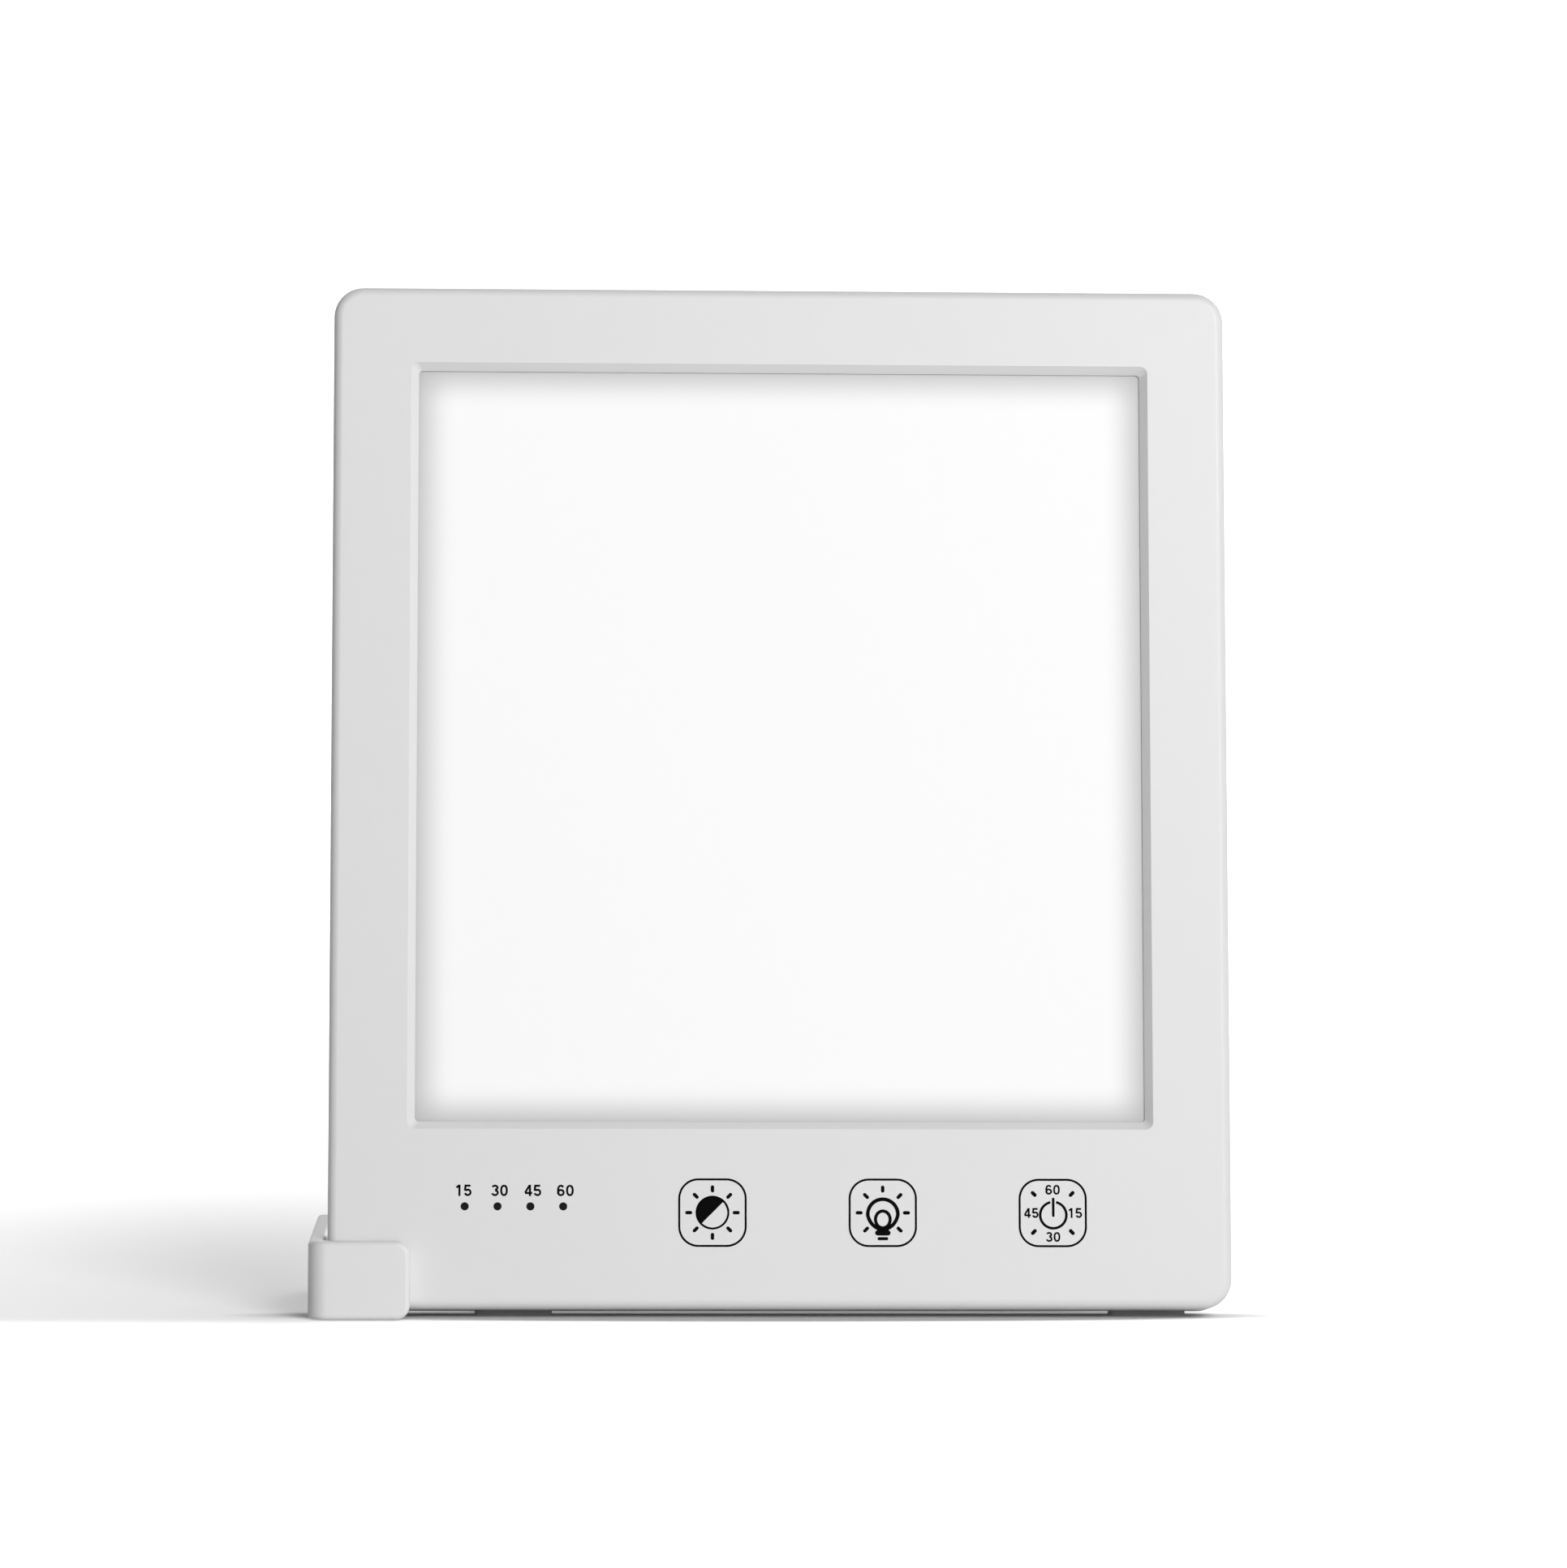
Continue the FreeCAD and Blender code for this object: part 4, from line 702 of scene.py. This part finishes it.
class Print:
    """Gathers the points and faces of one printed field, in panel millimetres."""

    def __init__(self):
        self.points = []
        self.faces = []
        self.count = 0

    def add(self, points, faces):
        """Faces count from the first of the new points."""
        self.points.append(points)
        self.faces += [[self.count + int(i) for i in face] for face in faces]
        self.count += len(points)

    def band(self, path, width, at, closed=True):
        """A line of this width: section corners are path plus or minus half the width."""
        points, normal = path
        points = points + np.asarray(at)
        outer = points + normal * width / 2
        inner = points - normal * width / 2
        ring = np.stack([ink_points(outer, INK_OUT), ink_points(inner, INK_OUT),
                         ink_points(inner, INK_IN), ink_points(outer, INK_IN)], 1)
        n = len(points)
        i = np.arange(n if closed else n - 1)
        j = (i + 1) % n
        faces = []
        for k in range(4):
            m = (k + 1) % 4
            faces += np.stack([i * 4 + k, i * 4 + m, j * 4 + m, j * 4 + k], -1).tolist()
        if not closed:
            faces += [[0, 3, 2, 1], [4 * n - 4, 4 * n - 3, 4 * n - 2, 4 * n - 1]]
        self.add(ring.reshape(-1, 3), faces)

    def slab(self, outline, at, turn_deg=0.0):
        """A filled shape: a front face, a back face and a strip between them."""
        turn = math.radians(turn_deg)
        spin = np.array([[math.cos(turn), math.sin(turn)], [-math.sin(turn), math.cos(turn)]])
        outline = outline @ spin + np.asarray(at)
        n = len(outline)
        points = np.concatenate([ink_points(outline, INK_OUT), ink_points(outline, INK_IN)])
        i = np.arange(n)
        j = (i + 1) % n
        sides = np.stack([i, i + n, j + n, j], -1).tolist()
        self.add(points, [list(range(n)), list(range(2 * n - 1, n - 1, -1))] + sides)

    def bar(self, length, width, at, turn_deg=0.0):
        """A slab with round ends: a box whose corner radius is half its width."""
        self.slab(path_round_box(length / 2, width / 2, width / 2)[0], at, turn_deg)

    def finish(self, name):
        """Makes the mesh, with doubles merged and faces outwards, and lets the panel carry it."""
        mesh = bpy.data.meshes.new(name)
        mesh.from_pydata(np.concatenate(self.points), [], self.faces)
        mesh.update()
        work = bmesh.new()
        work.from_mesh(mesh)
        bmesh.ops.remove_doubles(work, verts=work.verts, dist=INK_MERGE)
        bmesh.ops.recalc_face_normals(work, faces=work.faces)
        work.to_mesh(mesh)
        work.free()
        piece = add_object(name, mesh, ink)
        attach(piece, "panel")
        print(name, len(mesh.polygons), "faces")


# %% [markdown]
# ## Numbers
# The printed numbers are plain upright digits with one line width. A font would bring its own
# letter shapes and would have to be on the machine, so each digit is drawn as bands along
# straight lines and ovals.

# %% Numbers, drawn as strokes of one width
DIGIT_WIDTH = 0.67
DIGIT_STEP = 0.79
STROKE = 0.182
STROKE_STEPS = 28


def stroke(points):
    """A path with normals square to its way, for points given in order."""
    points = np.asarray(points, float)
    way = np.gradient(points, axis=0)
    way /= np.linalg.norm(way, axis=1, keepdims=True)
    return points, np.stack([way[:, 1], -way[:, 0]], -1)


def line(x0, y0, x1, y1):
    """A straight stroke between two points."""
    return stroke(np.linspace((x0, y0), (x1, y1), 2))


def bow(cx, cy, rx, ry, start_deg, stop_deg, power=2.0):
    """Part of a rounded oval: |x/rx|^power + |y/ry|^power = 1, by its angle."""
    angle = np.radians(np.linspace(start_deg, stop_deg, STROKE_STEPS))
    c, n = np.cos(angle), np.sin(angle)
    x = cx + rx * np.sign(c) * np.abs(c) ** (2 / power)
    y = cy + ry * np.sign(n) * np.abs(n) ** (2 / power)
    return stroke(np.stack([x, y], -1))


def digit_strokes():
    """Strokes of each digit in a cell one high; every edge keeps half a stroke inside."""
    h = STROKE / 2
    mid, wide, tall = DIGIT_WIDTH / 2, DIGIT_WIDTH / 2 - h, 0.5 - h
    low, high = 0.295, 0.735
    return {
        "0": [bow(mid, 0.5, wide, tall, 90, 450, 2.3)],
        "1": [line(0.40, 0, 0.40, 1), line(0.40, 0.95, 0.13, 0.74)],
        "3": [bow(mid, high, wide * 0.88, 1 - h - high, 165, -88),
              bow(mid, low, wide, low - h, 88, -168)],
        "4": [line(0.47, 0, 0.47, 1), line(0.44, 0.94, 0.05, 0.31),
              line(0.03, 0.27, DIGIT_WIDTH, 0.27)],
        "5": [line(0.15, 1 - h, 0.57, 1 - h), line(0.155, 1.0, 0.09, 0.46),
              bow(mid, low + 0.03, wide, low + 0.03 - h, 140, -165)],
        "6": [bow(mid, low + 0.02, wide, low + 0.02 - h, 90, 450),
              bow(mid, 0.5, wide, tall, 215, 38, 2.3)],
    }


DIGITS = digit_strokes()
print("digits", sorted(DIGITS))


def add_number(sheet, text, height, at):
    """Each digit is scaled to its height; the number is centred by its ink."""
    paths = [(points + (DIGIT_STEP * index, -0.5), normal)
             for index, mark in enumerate(text) for points, normal in DIGITS[mark]]
    ends = np.concatenate([points for points, normal in paths])[:, 0]
    middle = (ends.min() + ends.max()) / 2
    for points, normal in paths:
        sheet.band(((points - (middle, 0)) * height, normal), STROKE * height, at, closed=False)


# %% [markdown]
# ## The three touch fields
# Each field has a rounded frame with a sign in it: a half-filled sun for brightness, a bulb
# for the light, and a power sign among the timer's minutes. Signs could be curves with a
# width, but the export wants meshes, and bands give the same line without a conversion.

# %% Sizes of the printed fields, in mm
FIELD_UP = 22.2
FIELD_FIRST = 89.1
FIELD_PITCH = 39.55
FIELD_HALF = 7.7
FIELD_RADIUS = 4.4
LINE = 0.48
RAY_AT = 5.5
RAY_LENGTH = 1.65
RAY_WIDTH = 0.80
FIELD_DIGITS = 2.3
TIMER_DIGITS = 2.65


def field_frame(sheet, middle):
    """The rounded frame of one field."""
    sheet.band(path_round_box(FIELD_HALF, FIELD_HALF, FIELD_RADIUS), LINE, middle)


def rays(sheet, middle, angles, reach=RAY_AT, length=RAY_LENGTH, width=RAY_WIDTH):
    """Bars that point away from the middle, their centres on a circle."""
    for angle in angles:
        way = np.array([math.cos(math.radians(angle)), math.sin(math.radians(angle))])
        sheet.bar(length, width, np.asarray(middle) + way * reach, angle)


# %% Brightness field: a half-filled sun
SUN_RADIUS = 3.68
HALF_DISC_RADIUS = 3.7
HALF_DISC_STEPS = 40


def print_brightness(middle):
    """A ring with a half disc at its upper left, and eight rays."""
    sheet = Print()
    field_frame(sheet, middle)
    sheet.band(path_ring(SUN_RADIUS), LINE, middle)
    sheet.slab(path_arc(HALF_DISC_RADIUS, 45, 225, HALF_DISC_STEPS)[0], middle)
    rays(sheet, middle, range(0, 360, 45))
    sheet.finish("print_brightness")


print_brightness((FIELD_FIRST, FIELD_UP))


# %% Light field: a bulb with rays
GLASS_RADIUS = 3.5
GLASS_NARROWING = 0.10
GLASS_LINE = 0.86
GLASS_PLACE = (0.0, -0.35)
LOOP_RADIUS = 1.7
LOOP_STRETCH = (1.0, 1.15)
LOOP_LINE = 0.76
LOOP_PLACE = (0.0, -1.55)
CAP_BARS = ((3.6, 1.25, -4.65), (2.5, 0.75, -6.0))


def print_bulb(middle):
    """The glass is a circle that narrows below its middle; two bars stand for the cap."""
    sheet = Print()
    middle = np.asarray(middle)
    field_frame(sheet, middle)
    points, normal = path_ring(GLASS_RADIUS)
    narrow = 1 - GLASS_NARROWING * np.clip(-normal[:, 1], 0, 1)
    glass = points * np.stack([narrow, np.ones(len(narrow))], -1)
    sheet.band((glass, normal), GLASS_LINE, middle + GLASS_PLACE)
    points, normal = path_ring(LOOP_RADIUS)
    sheet.band((points * LOOP_STRETCH, normal), LOOP_LINE, middle + LOOP_PLACE)
    for length, width, up in CAP_BARS:
        sheet.bar(length, width, middle + (0.0, up))
    rays(sheet, middle, range(-45, 226, 45))
    sheet.finish("print_bulb")


print_bulb((FIELD_FIRST + FIELD_PITCH, FIELD_UP))


# %% Power and timer field
POWER_RADIUS = 3.05
POWER_GAP_HALF = 12.5
POWER_STEPS = 64
POWER_LINE = 0.60
POWER_PLACE = (0.12, -0.5)
POWER_BAR_LENGTH = 4.5
POWER_BAR_PLACE = (0.12, 1.32)
MINUTES = {"60": (0.0, 5.4), "15": (5.2, 0.0), "30": (0.05, -5.55), "45": (-5.05, 0.0)}
DASH_AT = 6.25
DASH_LENGTH = 1.6
DASH_WIDTH = 0.85


def print_power(middle):
    """A ring open at the top with a bar in the gap, four numbers and a dash between each."""
    sheet = Print()
    middle = np.asarray(middle)
    field_frame(sheet, middle)
    ring = path_arc(POWER_RADIUS, 90 + POWER_GAP_HALF, 450 - POWER_GAP_HALF, POWER_STEPS)
    sheet.band(ring, POWER_LINE, middle + POWER_PLACE, closed=False)
    sheet.bar(POWER_BAR_LENGTH, POWER_LINE, middle + POWER_BAR_PLACE, 90.0)
    for text, place in MINUTES.items():
        add_number(sheet, text, FIELD_DIGITS, middle + place)
    rays(sheet, middle, (45, 135, 225, 315), DASH_AT, DASH_LENGTH, DASH_WIDTH)
    sheet.finish("print_power")


print_power((FIELD_FIRST + 2 * FIELD_PITCH, FIELD_UP))


# %% Numbers over the timer lamps
TIMER_UP = 27.3
TIMER_ACROSS = {"15": 31.4, "30": 39.75, "45": 47.4, "60": 55.0}


def print_timer_numbers():
    """One number over each lamp, in one row."""
    sheet = Print()
    for text, across in TIMER_ACROSS.items():
        add_number(sheet, text, TIMER_DIGITS, (across, TIMER_UP))
    sheet.finish("print_timer_numbers")


print_timer_numbers()
